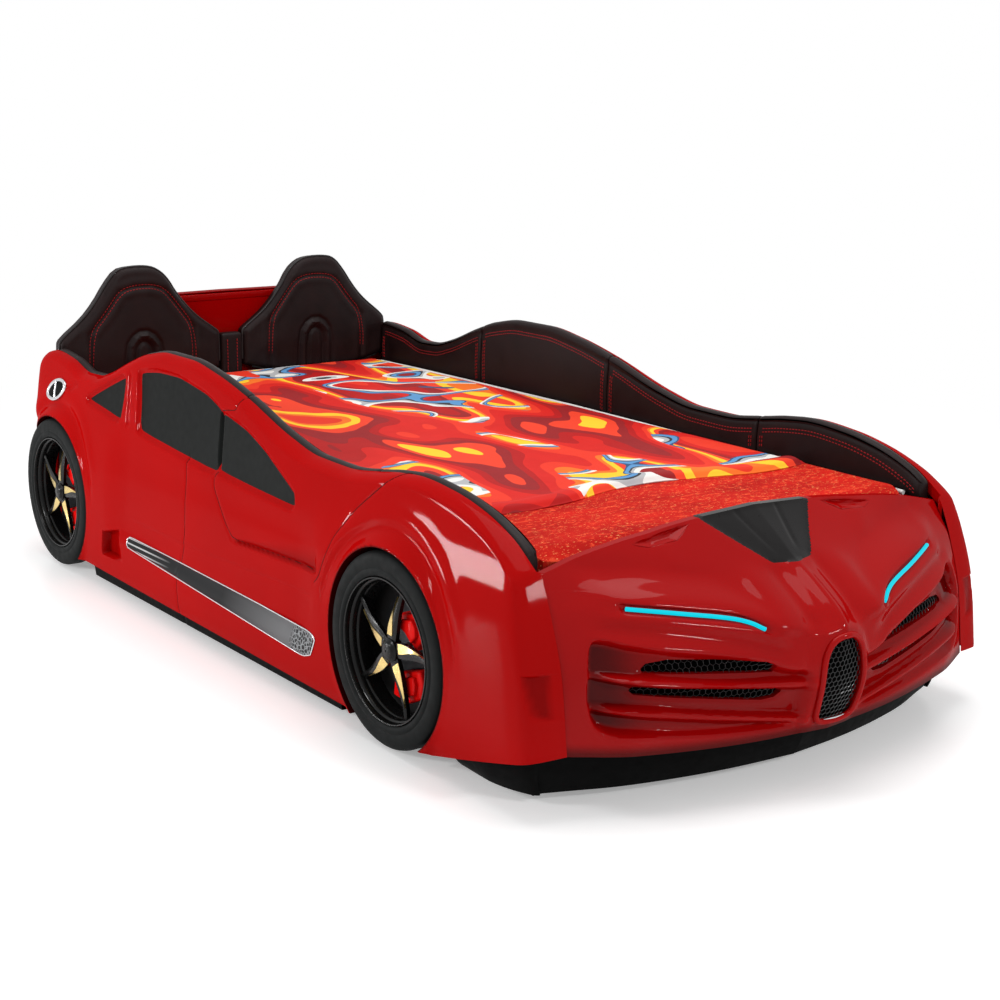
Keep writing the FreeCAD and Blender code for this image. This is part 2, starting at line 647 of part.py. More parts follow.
def build_tail():
    front = HEAD_BACK_Y
    half = [(x, z) for x, z in SPOILER]
    outline = half + [(-x, z) for x, z in half[-2:0:-1]]
    spoiler = xz_prism(outline, front, SPOILER_BACK_Y)
    hollow = xz_prism(grow(outline, -WALL), front - 1, SPOILER_BACK_Y - WALL)
    export(spoiler.cut(hollow), "spoiler_panel")
    low, high = TAIL_PANEL_BOTTOM, SPOILER[-1][1]
    panel = box(-BOARD_OUT, front, low, BOARD_OUT, SPOILER_BACK_Y, high)
    panel = panel.cut(box(-BOARD_OUT + WALL, front - 1, low + WALL, BOARD_OUT - WALL,
                          SPOILER_BACK_Y - WALL, high - WALL))
    panel = panel.cut(switch_hole(0))
    panel = panel.cut(cylinder(INLET_RADIUS, inlet_centre(SPOILER_BACK_Y - 2 * WALL), inlet_centre(SPOILER_BACK_Y + 1)))
    export(panel, "tail_panel")


# ---------------------------------------------------------------- wheels
def ring(outer_radius, inner_radius, x0, x1):
    return cylinder(outer_radius, V(x0, 0, 0), V(x1, 0, 0)).cut(cylinder(inner_radius, V(x0, 0, 0), V(x1, 0, 0)))


def tyre():
    x0, x1 = WHEEL_FACE_X - TYRE_WIDTH, WHEEL_FACE_X
    r, s = WHEEL_RADIUS, TYRE_SHOULDER
    arc_out = Part.Arc(V(x1 - s, 0, r), V(x1 - s * 0.3, 0, r - s * 0.3), V(x1, 0, r - s)).toShape()
    arc_in = Part.Arc(V(x0, 0, r - s), V(x0 + s * 0.3, 0, r - s * 0.3), V(x0 + s, 0, r)).toShape()
    edges = [line_edge(V(x0 + s, 0, r), V(x1 - s, 0, r)), arc_out,
             line_edge(V(x1, 0, r - s), V(x1, 0, RIM_RADIUS)),
             line_edge(V(x1, 0, RIM_RADIUS), V(x0, 0, RIM_RADIUS)),
             line_edge(V(x0, 0, RIM_RADIUS), V(x0, 0, r - s)), arc_in]
    face = Part.Face(Part.Wire(Part.__sortEdges__(edges)))
    return face.revolve(V(0, 0, 0), V(1, 0, 0), 360)


def spoke():
    """Curved spoke from the hub to the rim, as one blade."""
    x0, x1 = WHEEL_FACE_X - SPOKE_DEPTH_IN - SPOKE_THICKNESS, WHEEL_FACE_X - SPOKE_DEPTH_IN
    near, far = HUB_RADIUS * 0.8, RIM_RADIUS - RIM_WALL / 2
    left = [V(x0, -7, near), V(x0, -15, far * 0.55), V(x0, -16, far)]
    right = [V(x0, 14, far), V(x0, 3, far * 0.55), V(x0, 7, near)]
    edges = [Part.Arc(*left).toShape(), line_edge(left[-1], right[0]),
             Part.Arc(*right).toShape(), line_edge(right[-1], left[0])]
    return Part.Face(Part.Wire(edges)).extrude(V(x1 - x0, 0, 0))


def rim():
    x0, x1 = WHEEL_FACE_X - TYRE_WIDTH, WHEEL_FACE_X
    body = ring(RIM_RADIUS, RIM_RADIUS - RIM_WALL, x0, x1)
    hub_out = x1 - SPOKE_DEPTH_IN + 2
    hub = cylinder(HUB_RADIUS, V(AXLE_FLANGE_OUT + FIT, 0, 0), V(hub_out, 0, 0))
    body = body.fuse(hub)
    for i in range(SPOKE_COUNT):
        blade = spoke()
        blade.rotate(V(0, 0, 0), V(1, 0, 0), i * 360.0 / SPOKE_COUNT)
        body = body.fuse(blade)
    body = body.cut(cylinder(AXLE_RADIUS + AXLE_RUNNING_FIT, V(AXLE_FLANGE_OUT, 0, 0), V(x1, 0, 0)))
    body = body.cut(cylinder(AXLE_RADIUS * 1.5, V(AXLE_HEAD_IN - FIT, 0, 0), V(x1, 0, 0)))
    cap = cylinder(CAP_RADIUS, V(hub_out, 0, 0), V(hub_out + 8, 0, 0))
    return group([body, cap])


def stub_axle():
    plate = cylinder(MOUNT_PLATE_RADIUS, V(BOARD_OUT, 0, 0), V(PLATE_OUT, 0, 0))
    flange = cylinder(AXLE_RADIUS * 1.75, V(PLATE_OUT, 0, 0), V(AXLE_FLANGE_OUT, 0, 0))
    pin = cylinder(AXLE_RADIUS, V(AXLE_FLANGE_OUT, 0, 0), V(AXLE_HEAD_IN, 0, 0))
    head = cylinder(AXLE_RADIUS * 1.35, V(AXLE_HEAD_IN, 0, 0), V(AXLE_HEAD_IN + AXLE_HEAD, 0, 0))
    return plate.fuse(flange).fuse(pin).fuse(head)


def brake_disc():
    return ring(DISC_RADIUS, AXLE_RADIUS * 1.75 + FIT, PLATE_OUT, PLATE_OUT + DISC_THICKNESS)


def caliper(angle):
    """Block over the disc's edge, on the nose side of the hub."""
    x0 = PLATE_OUT + DISC_THICKNESS
    face = ring(CALIPER_OUTER_R, CALIPER_INNER_R, x0, x0 + CALIPER_WIDTH)
    reach = CALIPER_OUTER_R * 1.3
    spread = math.radians(CALIPER_SWEEP / 2)
    middle = math.radians(angle)
    corners = [V(x0, 0, 0)]
    for a in (middle - spread, middle + spread):
        corners.append(V(x0, -reach * math.cos(a), reach * math.sin(a)))
    return face.common(polygon_prism(corners, V(CALIPER_WIDTH, 0, 0)))


def placed(shape, side, hub_y):
    copy = shape if side > 0 else mirrored(shape)
    copy = copy.copy()
    copy.translate(V(0, hub_y, WHEEL_CENTRE_Z))
    return copy


def build_wheels():
    corners = [("front_left", 1, FRONT_AXLE_Y), ("front_right", -1, FRONT_AXLE_Y),
               ("rear_left", 1, REAR_AXLE_Y), ("rear_right", -1, REAR_AXLE_Y)]
    shared = {"stub_axles": [stub_axle()], "brake_discs": [brake_disc()],
              "brake_calipers": [caliper(angle) for angle in CALIPER_ANGLES]}
    for name, side, hub_y in corners:
        export(placed(tyre(), side, hub_y), "tyre_" + name)
        export(placed(rim(), side, hub_y), "rim_" + name)
    for node, solids in shared.items():
        export(group([placed(s, side, hub_y) for name, side, hub_y in corners for s in solids]), node)


# ---------------------------------------------------------------- upholstery
def side_pad(y0, y1):
    """Padded lining of one stretch of the rail, crowned towards the mattress."""
    samples = 9
    ys = [y0 + (y1 - y0) * i / (samples - 1) for i in range(samples)]
    back = RAIL_INNER_X - FIT
    face = back - PAD_THICKNESS
    sections = []
    for i, y in enumerate(ys):
        edge = 1.0 if 0 < i < samples - 1 else 0.35
        crown = PAD_CROWN * edge
        top = crest_height(y) + PAD_RAISE
        low = V(face + PAD_CROWN, y, PAD_SEAT_Z)
        high = V(face + PAD_CROWN, y, top - 6)
        bulge = V(face + PAD_CROWN - crown, y, (PAD_SEAT_Z + top) / 2)
        edges = [line_edge(V(back, y, PAD_SEAT_Z), low), Part.Arc(low, bulge, high).toShape(),
                 line_edge(high, V(face + PAD_CROWN + 6, y, top)),
                 line_edge(V(face + PAD_CROWN + 6, y, top), V(back, y, top)),
                 line_edge(V(back, y, top), V(back, y, PAD_SEAT_Z))]
        sections.append(Part.Wire(edges))
    return Part.makeLoft(sections, True, True)



def bucket_pad():
    """Seat-back shaped pad with a crowned face and an embossed arch, for the left side."""
    back = HEAD_BOARD_Y - FIT
    face = PAD_FACE_Y + PAD_CROWN
    rows = [(face, 1.0), (face - PAD_CROWN * 0.6, 0.93), (face - PAD_CROWN * 0.9, 0.84)]
    cx = sum(x for x, z in BUCKET) / len(BUCKET)
    low_z = BUCKET[0][1]
    wires = []
    for y, k in [(back, 1.0)] + rows:
        points = [V(cx + (x - cx) * k, y, low_z + (z - low_z) * k) for x, z in BUCKET]
        wires.append(Part.makePolygon(points + [points[0]]))
    pad = Part.makeLoft(wires, True, True)
    groove_out = xz_prism(EMBLEM, 0, face - PAD_CROWN * 0.9 + CHANNEL_DEPTH)
    groove_in = xz_prism(grow(EMBLEM, -6), 0, face + PAD_CROWN)
    return pad.cut(groove_out.cut(groove_in))


def centre_pad():
    half = BUCKET[0][0] - PAD_GAP / 2
    low = BUCKET[0][1]
    face = PAD_FACE_Y + PAD_CROWN
    bulge = V(0, PAD_FACE_Y, low)
    edges = [Part.Arc(V(-half, face, low), bulge, V(half, face, low)).toShape(),
             line_edge(V(half, face, low), V(half, HEAD_BOARD_Y - FIT, low)),
             line_edge(V(half, HEAD_BOARD_Y - FIT, low), V(-half, HEAD_BOARD_Y - FIT, low)),
             line_edge(V(-half, HEAD_BOARD_Y - FIT, low), V(-half, face, low))]
    return Part.Face(Part.Wire(edges)).extrude(V(0, 0, CENTRE_PAD_TOP - low))


def build_pads():
    for i, (far, near) in enumerate(zip(PAD_BREAKS, PAD_BREAKS[1:]), start=1):
        pad = side_pad(near + PAD_GAP / 2, far - PAD_GAP / 2)
        export(pad, "side_pad_left_%d" % i)
        export(mirrored(pad), "side_pad_right_%d" % i)
    bucket = bucket_pad()
    export(bucket, "head_pad_left")
    export(mirrored(bucket), "head_pad_right")
    export(centre_pad(), "head_pad_centre")


# ---------------------------------------------------------------- mattress and bedspread
def rounded_plan(half_x, y0, y1, z, corner):
    corners = [(half_x, y1), (-half_x, y1), (-half_x, y0), (half_x, y0)]
    wire = Part.makePolygon([V(x, y, z) for x, y in corners + corners[:1]])
    face = Part.Face(wire)
    solid = face.extrude(V(0, 0, 1))
    upright = [e for e in solid.Edges if abs(e.Vertexes[0].Z - e.Vertexes[-1].Z) > 0.5]
    solid = solid.makeFillet(corner, upright)
    return min(solid.Faces, key=lambda f: f.CenterOfMass.z).OuterWire


def mattress():
    y0 = BAY_FRONT_Y + BAY_END_GAP
    y1 = y0 + MATTRESS_LENGTH
    z0 = SLAT_TOP + FIT
    z1 = MATTRESS_TOP
    half = MATTRESS_WIDTH / 2
    rows = [(z0, PIPING_INSET), (z0 + 12, 0), (z1 - MATTRESS_CROWN - 12, 0), (z1 - MATTRESS_CROWN, PIPING_INSET),
            (z1, PIPING_INSET * 4)]
    wires = [rounded_plan(half - d, y0 + d, y1 - d, z, MATTRESS_CORNER) for z, d in rows]
    return Part.makeLoft(wires, True, True)


def bedspread():
    """Quilt on the mattress, with a raised wavy hem towards the foot."""
    z0 = MATTRESS_TOP + FIT
    y0 = BAY_FRONT_Y + BAY_END_GAP + PIPING_INSET * 4
    y1 = y0 + MATTRESS_LENGTH - PIPING_INSET * 8
    half = MATTRESS_WIDTH / 2 - PIPING_INSET * 4
    hem_y = y0 + HEM_SETBACK
    slab = box(-half, y0, z0, half, y1, z0 + SPREAD_THICKNESS)
    stations = 13
    wires = []
    for i in range(stations):
        x = -half + 2 * half * i / (stations - 1)
        y = hem_y + HEM_WAVE * math.sin(2 * math.pi * i / 6.0)
        low = V(x, y - HEM_WIDTH / 2, z0 + SPREAD_THICKNESS / 2)
        high = V(x, y + HEM_WIDTH / 2, z0 + SPREAD_THICKNESS / 2)
        top = V(x, y, z0 + HEM_HEIGHT)
        wires.append(Part.Wire([Part.Arc(low, top, high).toShape(), line_edge(high, low)]))
    hem = Part.makeLoft(wires, True, True)
    return biggest(slab.fuse(hem))


def build_bedding():
    export(mattress(), "mattress")
    export(bedspread(), "bedspread")


# ---------------------------------------------------------------- lighting supply
def build_lighting():
    x, y, z = DRIVER_SIZE
    back = FOOT_OUT_Y - FIT
    export(box(-x / 2, back - y, SLAT_TOP, x / 2, back, SLAT_TOP + z), "led_driver")
    w, h, d = SWITCH_BODY
    out = SPOILER_BACK_Y
    bezel = box(SWITCH_X - w / 2 - 2, out, SWITCH_Z - h / 2 - 2, SWITCH_X + w / 2 + 2, out + 2, SWITCH_Z + h / 2 + 2)
    case = box(SWITCH_X - w / 2, out - d, SWITCH_Z - h / 2, SWITCH_X + w / 2, out, SWITCH_Z + h / 2)
    rw, rh, rd = ROCKER_SIZE
    well = box(SWITCH_X - rw / 2 - ROCKER_FIT, out - rd, SWITCH_Z - rh / 2 - ROCKER_FIT,
               SWITCH_X + rw / 2 + ROCKER_FIT, out + 3, SWITCH_Z + rh / 2 + ROCKER_FIT)
    export(case.fuse(bezel).cut(well), "switch_body")
    pivot = V(SWITCH_X, out - rd / 2, SWITCH_Z)
    tip = 1.6
    side_view = [(-rw / 2 + 0.6, out - 0.2), (0, out + 0.6), (rw / 2 - 0.6, out + tip), (rw / 2 - 1.4, out - rd * 0.6),
                 (0, out - rd + 0.4), (-rw / 2 + 1.4, out - rd * 0.6)]
    rocker = polygon_prism([V(SWITCH_X + a, b, pivot.z - rh / 2) for a, b in side_view], V(0, 0, rh))
    export(rocker, "switch_rocker")
    jack = cylinder(INLET_RADIUS, inlet_centre(out - INLET_DEPTH), inlet_centre(out))
    rim_ring = cylinder(INLET_RADIUS + 2, inlet_centre(out), inlet_centre(out + 1.5))
    bore = cylinder(INLET_RADIUS * 0.4, inlet_centre(out - INLET_DEPTH * 0.7), inlet_centre(out + 3))
    export(jack.fuse(rim_ring).cut(bore), "power_inlet")


build_frame()
build_sides()
build_nose()
build_tail()
build_wheels()
build_pads()
build_bedding()
build_lighting()
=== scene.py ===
"""Looks of a children's car bed, built on its packed construction model. Lengths are in millimetres inside the
classes and become metres when a mesh is written. +Z is up, the nose points to -Y and the headboard to +Y."""

import json
import logging
import math
from contextlib import contextmanager
from dataclasses import dataclass, field
from enum import Enum
from typing import Callable, Iterable, Iterator, Sequence

import bpy
import numpy as np
from mathutils import Matrix, Vector

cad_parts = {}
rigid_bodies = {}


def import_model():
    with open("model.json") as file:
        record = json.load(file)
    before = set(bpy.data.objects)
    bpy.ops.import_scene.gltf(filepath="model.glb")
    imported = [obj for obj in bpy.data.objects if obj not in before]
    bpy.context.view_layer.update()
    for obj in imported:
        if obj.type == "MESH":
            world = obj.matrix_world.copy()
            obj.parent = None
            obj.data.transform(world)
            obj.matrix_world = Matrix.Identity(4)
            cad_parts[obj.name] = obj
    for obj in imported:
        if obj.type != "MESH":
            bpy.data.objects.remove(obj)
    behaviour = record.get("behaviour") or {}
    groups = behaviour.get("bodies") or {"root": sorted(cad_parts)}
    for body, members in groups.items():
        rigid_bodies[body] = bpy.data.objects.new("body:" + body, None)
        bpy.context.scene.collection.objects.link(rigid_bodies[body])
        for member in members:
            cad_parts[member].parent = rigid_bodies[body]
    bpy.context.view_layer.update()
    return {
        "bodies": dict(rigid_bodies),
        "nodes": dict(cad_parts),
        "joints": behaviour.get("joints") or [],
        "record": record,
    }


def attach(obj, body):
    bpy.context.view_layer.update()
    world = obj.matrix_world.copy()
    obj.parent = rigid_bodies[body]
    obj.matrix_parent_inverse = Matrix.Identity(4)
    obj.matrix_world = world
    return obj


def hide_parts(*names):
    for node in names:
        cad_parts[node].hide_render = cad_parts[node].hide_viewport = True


LOG = logging.getLogger("car_bed")
MM = 0.001
FRONT_AXLE = -552.0
REAR_AXLE = 921.0
HUB_Z = 182.0
Points = Sequence[tuple[float, float]]
Field = Callable[[np.ndarray, np.ndarray], np.ndarray]


# ---------------------------------------------------------------- numbers and outlines
def ease(low: float, high: float, value: np.ndarray) -> np.ndarray:
    """Smooth step from 0 at low to 1 at high; low may be the larger."""
    t = np.clip((np.asarray(value, float) - low) / (high - low), 0.0, 1.0)
    return t * t * (3.0 - 2.0 * t)


def bell(value: np.ndarray, centre: float | np.ndarray, width: float) -> np.ndarray:
    """Rounded hump of height 1."""
    return np.exp(-(((value - centre) / width) ** 2))


def hermite(t: np.ndarray, run: np.ndarray, ends: Sequence[np.ndarray], slopes: Sequence[np.ndarray]) -> np.ndarray:
    """Cubic between two values with a slope at each, at a share t of the run between them."""
    return ((1 + 2 * t) * (1 - t) ** 2 * ends[0] + t * (1 - t) ** 2 * run * slopes[0]
            + t * t * (3 - 2 * t) * ends[1] + t * t * (t - 1) * run * slopes[1])


def curve(points: Points, query: np.ndarray) -> np.ndarray:
    """Monotone cubic through points, held level beyond its ends.

    Args:
        points: Pairs of place and value.
        query: Places to read.

    Returns:
        The values at those places.
    """
    rows = np.array(sorted(points), float)
    x, y = rows[:, 0], rows[:, 1]
    h = np.diff(x)
    s = np.diff(y) / h
    m = np.zeros(len(x))
    m[0], m[-1] = s[0], s[-1]
    same = s[:-1] * s[1:] > 0
    m[1:-1][same] = 2 * s[:-1][same] * s[1:][same] / (s[:-1][same] + s[1:][same])
    q = np.clip(np.asarray(query, float), x[0], x[-1])
    i = np.clip(np.searchsorted(x, q) - 1, 0, len(x) - 2)
    return hermite((q - x[i]) / h[i], h[i], (y[i], y[i + 1]), (m[i], m[i + 1]))


def gap_to(path: Points, a: np.ndarray, b: np.ndarray, closed: bool = False) -> tuple[np.ndarray, ...]:
    """Distance from points to a line of straight runs, and the nearest place on it.

    Args:
        path: Corners of the line.
        a: First coordinates of the points.
        b: Second coordinates of the points.
        closed: Whether the last corner joins the first.

    Returns:
        Distance, and the nearest place's two coordinates.
    """
    ends = list(path) + [path[0]] if closed else list(path)
    best = np.full(np.shape(a), 1e9)
    na, nb = np.array(a, float), np.array(b, float)
    for (a0, b0), (a1, b1) in zip(ends, ends[1:]):
        run = max((a1 - a0) ** 2 + (b1 - b0) ** 2, 1e-9)
        t = np.clip(((a - a0) * (a1 - a0) + (b - b0) * (b1 - b0)) / run, 0, 1)
        pa, pb = a0 + t * (a1 - a0), b0 + t * (b1 - b0)
        d = np.hypot(a - pa, b - pb)
        near = d < best
        best, na, nb = np.where(near, d, best), np.where(near, pa, na), np.where(near, pb, nb)
    return best, na, nb


def inside(path: Points, a: np.ndarray, b: np.ndarray) -> np.ndarray:
    """Whether points lie inside a closed outline."""
    hit = np.zeros(np.shape(a), bool)
    for (a0, b0), (a1, b1) in zip(path, list(path[1:]) + [path[0]]):
        if b0 != b1:
            hit ^= ((b0 > b) != (b1 > b)) & (a < (a1 - a0) * (b - b0) / (b1 - b0) + a0)
    return hit


def edge_of(path: Points) -> Field:
    """Signed distance to a closed outline, negative inside."""
    def signed(a: np.ndarray, b: np.ndarray) -> np.ndarray:
        """Distance with its sign."""
        d = gap_to(path, a, b, closed=True)[0]
        return np.where(inside(path, a, b), -d, d)
    return signed


def soften(path: Points, passes: int = 2, closed: bool = True, share: float = 0.25) -> list[tuple[float, float]]:
    """Cuts the corners of an outline.

    Args:
        path: Corners.
        passes: How often they are cut.
        closed: Whether the line closes.
        share: How far from each corner the first cut starts, as a share of the run. Later ones take a quarter.

    Returns:
        The rounded outline.
    """
    rows = [tuple(p) for p in path]
    for _ in range(passes):
        pairs = list(zip(rows, rows[1:] + rows[:1] if closed else rows[1:]))
        made = []
        for (a0, b0), (a1, b1) in pairs:
            made.append((a0 + (a1 - a0) * share, b0 + (b1 - b0) * share))
            made.append((a1 + (a0 - a1) * share, b1 + (b0 - b1) * share))
        rows = made if closed else [rows[0]] + made[1:-1] + [rows[-1]]
        share = 0.25
    return rows


def mirrored(half: Points) -> list[tuple[float, float]]:
    """Closed outline from its right half, which starts and ends on the middle line."""
    return list(half) + [(-a, b) for a, b in list(half)[::-1] if abs(a) > 1e-6]


def resized(path: Points, share: float) -> np.ndarray:
    """An outline at a share of its size, about its middle."""
    rows = np.array(path, float)
    middle = rows.mean(0)
    return middle + (rows - middle) * share


def lengths_along(path: np.ndarray) -> np.ndarray:
    """Length from the start of a path to each of its points, by its first two coordinates."""
    return np.concatenate([[0], np.cumsum(np.hypot(*np.diff(path[:, :2], axis=0).T))])


def ring_faces(count: int, ring: int, start: int = 0) -> list[tuple[int, ...]]:
    """Four-sided faces between closed rings of points.

    Args:
        count: Number of rings.
        ring: Points in each.
        start: Index of the first point.

    Returns:
        The faces as indices.
    """
    return [(start + i * ring + j, start + i * ring + (j + 1) % ring,
             start + (i + 1) * ring + (j + 1) % ring, start + (i + 1) * ring + j)
            for i in range(count - 1) for j in range(ring)]


def end_faces(count: int, ring: int) -> list[tuple[int, ...]]:
    """Faces that close the first and the last ring."""
    return [tuple(range(ring)), tuple((count - 1) * ring + j for j in range(ring))[::-1]]


def fan_faces(start: int, ring: int) -> list[tuple[int, ...]]:
    """Triangles from a ring to the single point that follows it."""
    return [(start + i, start + (i + 1) % ring, start + ring) for i in range(ring)]


# ---------------------------------------------------------------- mesh tools
def clear_selection() -> None:
    """Deselects everything."""
    bpy.ops.object.select_all(action="DESELECT")


def pick(piece: bpy.types.Object) -> None:
    """Makes one object the only selected and active one."""
    clear_selection()
    piece.select_set(True)
    bpy.context.view_layer.objects.active = piece


def named(name: str) -> bpy.types.Object:
    """The active object under its own name."""
    piece = bpy.context.object
    piece.name = name
    piece.data.name = name
    return piece


def settle(piece: bpy.types.Object) -> bpy.types.Object:
    """Applies an object's place, turn and scale to its mesh."""
    pick(piece)
    bpy.ops.object.transform_apply(location=True, rotation=True, scale=True)
    return piece


def linked(name: str, data: bpy.types.ID) -> bpy.types.Object:
    """A new object in the scene round its data."""
    piece = bpy.data.objects.new(name, data)
    bpy.context.scene.collection.objects.link(piece)
    return piece


def modify(piece: bpy.types.Object, kind: str, **settings: object) -> None:
    """Adds one modifier, sets it and applies it."""
    pick(piece)
    mod = piece.modifiers.new(kind.lower(), kind)
    for key, value in settings.items():
        setattr(mod, key, value)
    bpy.ops.object.modifier_apply(modifier=mod.name)


def points_of(data: bpy.types.Mesh) -> np.ndarray:
    """Coordinates of a mesh's points, in metres."""
    co = np.zeros(len(data.vertices) * 3)
    data.vertices.foreach_get("co", co)
    return co.reshape(-1, 3)


def faces_of(data: bpy.types.Mesh, what: str) -> np.ndarray:
    """One three-part property of every face, such as its centre or its normal."""
    rows = np.zeros(len(data.polygons) * 3)
    data.polygons.foreach_get(what, rows)
    return rows.reshape(-1, 3)


def zones_of(piece: bpy.types.Object) -> np.ndarray:
    """Material index of every face."""
    zone = np.zeros(len(piece.data.polygons), np.int32)
    piece.data.polygons.foreach_get("material_index", zone)
    return zone


@contextmanager
def editing(piece: bpy.types.Object, kind: str = "", choice: str = "") -> Iterator[None]:
    """Opens a piece in edit mode and closes it again.

    Args:
        piece: The mesh object.
        kind: Kind of element that is selected, or nothing to leave it.
        choice: Selection that is made first, or nothing to leave it.
    """
    pick(piece)
    bpy.ops.object.mode_set(mode="EDIT")
    if kind:
        bpy.ops.mesh.select_mode(type=kind)
    if choice:
        bpy.ops.mesh.select_all(action=choice)
    yield
    bpy.ops.object.mode_set(mode="OBJECT")


def flip(piece: bpy.types.Object) -> None:
    """Turns every face round."""
    with editing(piece, choice="SELECT"):
        bpy.ops.mesh.flip_normals()


def smooth(piece: bpy.types.Object, degrees: float = 40.0) -> bpy.types.Object:
    """Shades a piece smooth, with sharp edges kept past an angle."""
    pick(piece)
    bpy.ops.object.shade_smooth_by_angle(angle=math.radians(degrees))
    return piece


def outward(piece: bpy.types.Object) -> bpy.types.Object:
    """Merges doubles and turns the faces of a closed shape outwards."""
    with editing(piece, choice="SELECT"):
        bpy.ops.mesh.remove_doubles(threshold=1e-6)
        bpy.ops.mesh.normals_make_consistent(inside=False)
    return piece


def joined(name: str, parts: Sequence[bpy.types.Object]) -> bpy.types.Object:
    """Joins several objects into one under a name."""
    clear_selection()
    for part in parts:
        part.select_set(True)
    bpy.context.view_layer.objects.active = parts[0]
    if len(parts) > 1:
        bpy.ops.object.join()
    return named(name)


def mesh_from(name: str, points: np.ndarray, faces: Iterable[Sequence[int]]) -> bpy.types.Object:
    """A new mesh object from points in millimetres."""
    data = bpy.data.meshes.new(name)
    data.from_pydata([tuple(p) for p in (np.asarray(points, float) * MM)], [], [tuple(f) for f in faces])
    data.update()
    return linked(name, data)


def rounded_box(name: str, middle: tuple[float, float, float], size: tuple[float, float, float], bevel: float,
                segments: int) -> bpy.types.Object:
    """A box with rounded edges.

    Args:
        name: Name of the piece.
        middle: Its middle in metres.
        size: Its size in metres.
        bevel: Width of its rounded edges in metres.
        segments: Steps round an edge.

    Returns:
        The mesh object.
    """
    clear_selection()
    bpy.ops.mesh.primitive_cube_add(size=1.0, location=middle)
    piece = named(name)
    piece.scale = size
    settle(piece)
    modify(piece, "BEVEL", width=bevel, segments=segments)
    return piece


def tube(name: str, path: np.ndarray, radius: float, closed: bool = False, flat: float = 1.0) -> bpy.types.Object:
    """A round bar along a path.

    Args:
        name: Name of the piece.
        path: Points in millimetres.
        radius: Radius in millimetres.
        closed: Whether the path closes.
        flat: Radius at the ends as a share of the full one.

    Returns:
        The mesh object.
    """
    line = bpy.data.curves.new(name, "CURVE")
    line.dimensions = "3D"
    line.bevel_depth = radius * MM
    line.bevel_resolution = 3
    line.use_fill_caps = True
    spline = line.splines.new("POLY")
    spline.points.add(len(path) - 1)
    for i, p in enumerate(path):
        spline.points[i].co = (*(np.asarray(p, float) * MM), 1.0)
    if not closed:
        spline.points[0].radius = spline.points[-1].radius = flat
    spline.use_cyclic_u = closed
    pick(linked(name, line))
    bpy.ops.object.convert(target="MESH")
    return smooth(outward(named(name)), 60)


@dataclass
class Relief:
    """A fine grid over a flat outline, whose points are fitted to edges and lines before they get their height."""
    a: np.ndarray
    b: np.ndarray
    keep: np.ndarray = field(init=False)
    zone: np.ndarray = field(init=False)
    # How much darker each point is painted: painted shade in recesses, under the bumper and in the wheel arches.
    hollow: np.ndarray = field(init=False)

    def __post_init__(self) -> None:
        """Starts with every cell kept and in zone 0, and no painted shade on any point."""
        cells = (self.a.shape[0] - 1, self.a.shape[1] - 1)
        self.keep = np.ones(cells, bool)
        self.zone = np.zeros(cells, int)
        self.hollow = np.zeros(self.a.shape)

    def centres(self) -> tuple[np.ndarray, np.ndarray]:
        """Middle of each cell."""
        def middle(v: np.ndarray) -> np.ndarray:
            """Mean of the four corners."""
            return (v[:-1, :-1] + v[1:, :-1] + v[:-1, 1:] + v[1:, 1:]) / 4
        return middle(self.a), middle(self.b)

    def fit(self, signed: Field) -> np.ndarray:
        """Moves the points along an edge onto it.

        Args:
            signed: Signed distance to the edge.

        Returns:
            Which cells lie inside it.
        """
        within = signed(*self.centres()) < 0
        count = np.zeros(self.a.shape, int)
        total = np.zeros(self.a.shape, int)
        for i in (0, 1):
            for j in (0, 1):
                rows = slice(i, self.a.shape[0] - 1 + i), slice(j, self.a.shape[1] - 1 + j)
                count[rows] += within
                total[rows] += 1
        edge = (count > 0) & (count < total)
        a, b = self.a[edge], self.b[edge]
        for _ in range(3):
            d = signed(a, b)
            ga = (signed(a + 0.3, b) - signed(a - 0.3, b)) / 0.6
            gb = (signed(a, b + 0.3) - signed(a, b - 0.3)) / 0.6
            size = np.maximum(ga * ga + gb * gb, 0.3)
            a, b = a - d * ga / size, b - d * gb / size
        self.a[edge], self.b[edge] = a, b
        return within

    def cut(self, signed: Field) -> None:
        """Opens a hole along an edge."""
        self.keep &= ~self.fit(signed)

    def mark(self, signed: Field, zone: int) -> None:
        """Gives the cells inside an edge their own zone."""
        self.zone[self.fit(signed)] = zone

    def raise_mesh(self, name: str, x: np.ndarray, y: np.ndarray, z: np.ndarray,
                   facing: tuple[float, float, float]) -> bpy.types.Object:
        """Makes the mesh of the kept cells.

        Args:
            name: Name of the piece.
            x: X of every point.
            y: Y of every point.
            z: Z of every point.
            facing: Direction that the faces mostly look in.

        Returns:
            The mesh object, with the zones as material indices.
        """
        n, m = self.a.shape
        clear_selection()
        bpy.ops.mesh.primitive_grid_add(x_subdivisions=n - 1, y_subdivisions=m - 1, size=1.0)
        piece = named(name)
        data = piece.data
        co = points_of(data)
        i = np.rint((co[:, 0] + 0.5) * (n - 1)).astype(int)
        j = np.rint((co[:, 1] + 0.5) * (m - 1)).astype(int)
        middle = faces_of(data, "center")
        ci = np.clip(np.floor((middle[:, 0] + 0.5) * (n - 1)).astype(int), 0, n - 2)
        cj = np.clip(np.floor((middle[:, 1] + 0.5) * (m - 1)).astype(int), 0, m - 2)
        data.vertices.foreach_set("co", (np.stack([x[i, j], y[i, j], z[i, j]], 1) * MM).ravel())
        data.polygons.foreach_set("material_index", self.zone[ci, cj].astype(np.int32))
        # Painted shade: written as a point attribute that darkens the lacquer colour.
        if self.hollow.any():
            dark = data.attributes.new("hollow", "FLOAT", "POINT")
            dark.data.foreach_set("value", self.hollow[i, j].astype(np.float32))
        data.update()
        turned = (faces_of(data, "normal") @ np.array(facing)).mean() < 0
        drop_faces(piece, ~self.keep[ci, cj])
        if turned:
            flip(piece)
        return piece


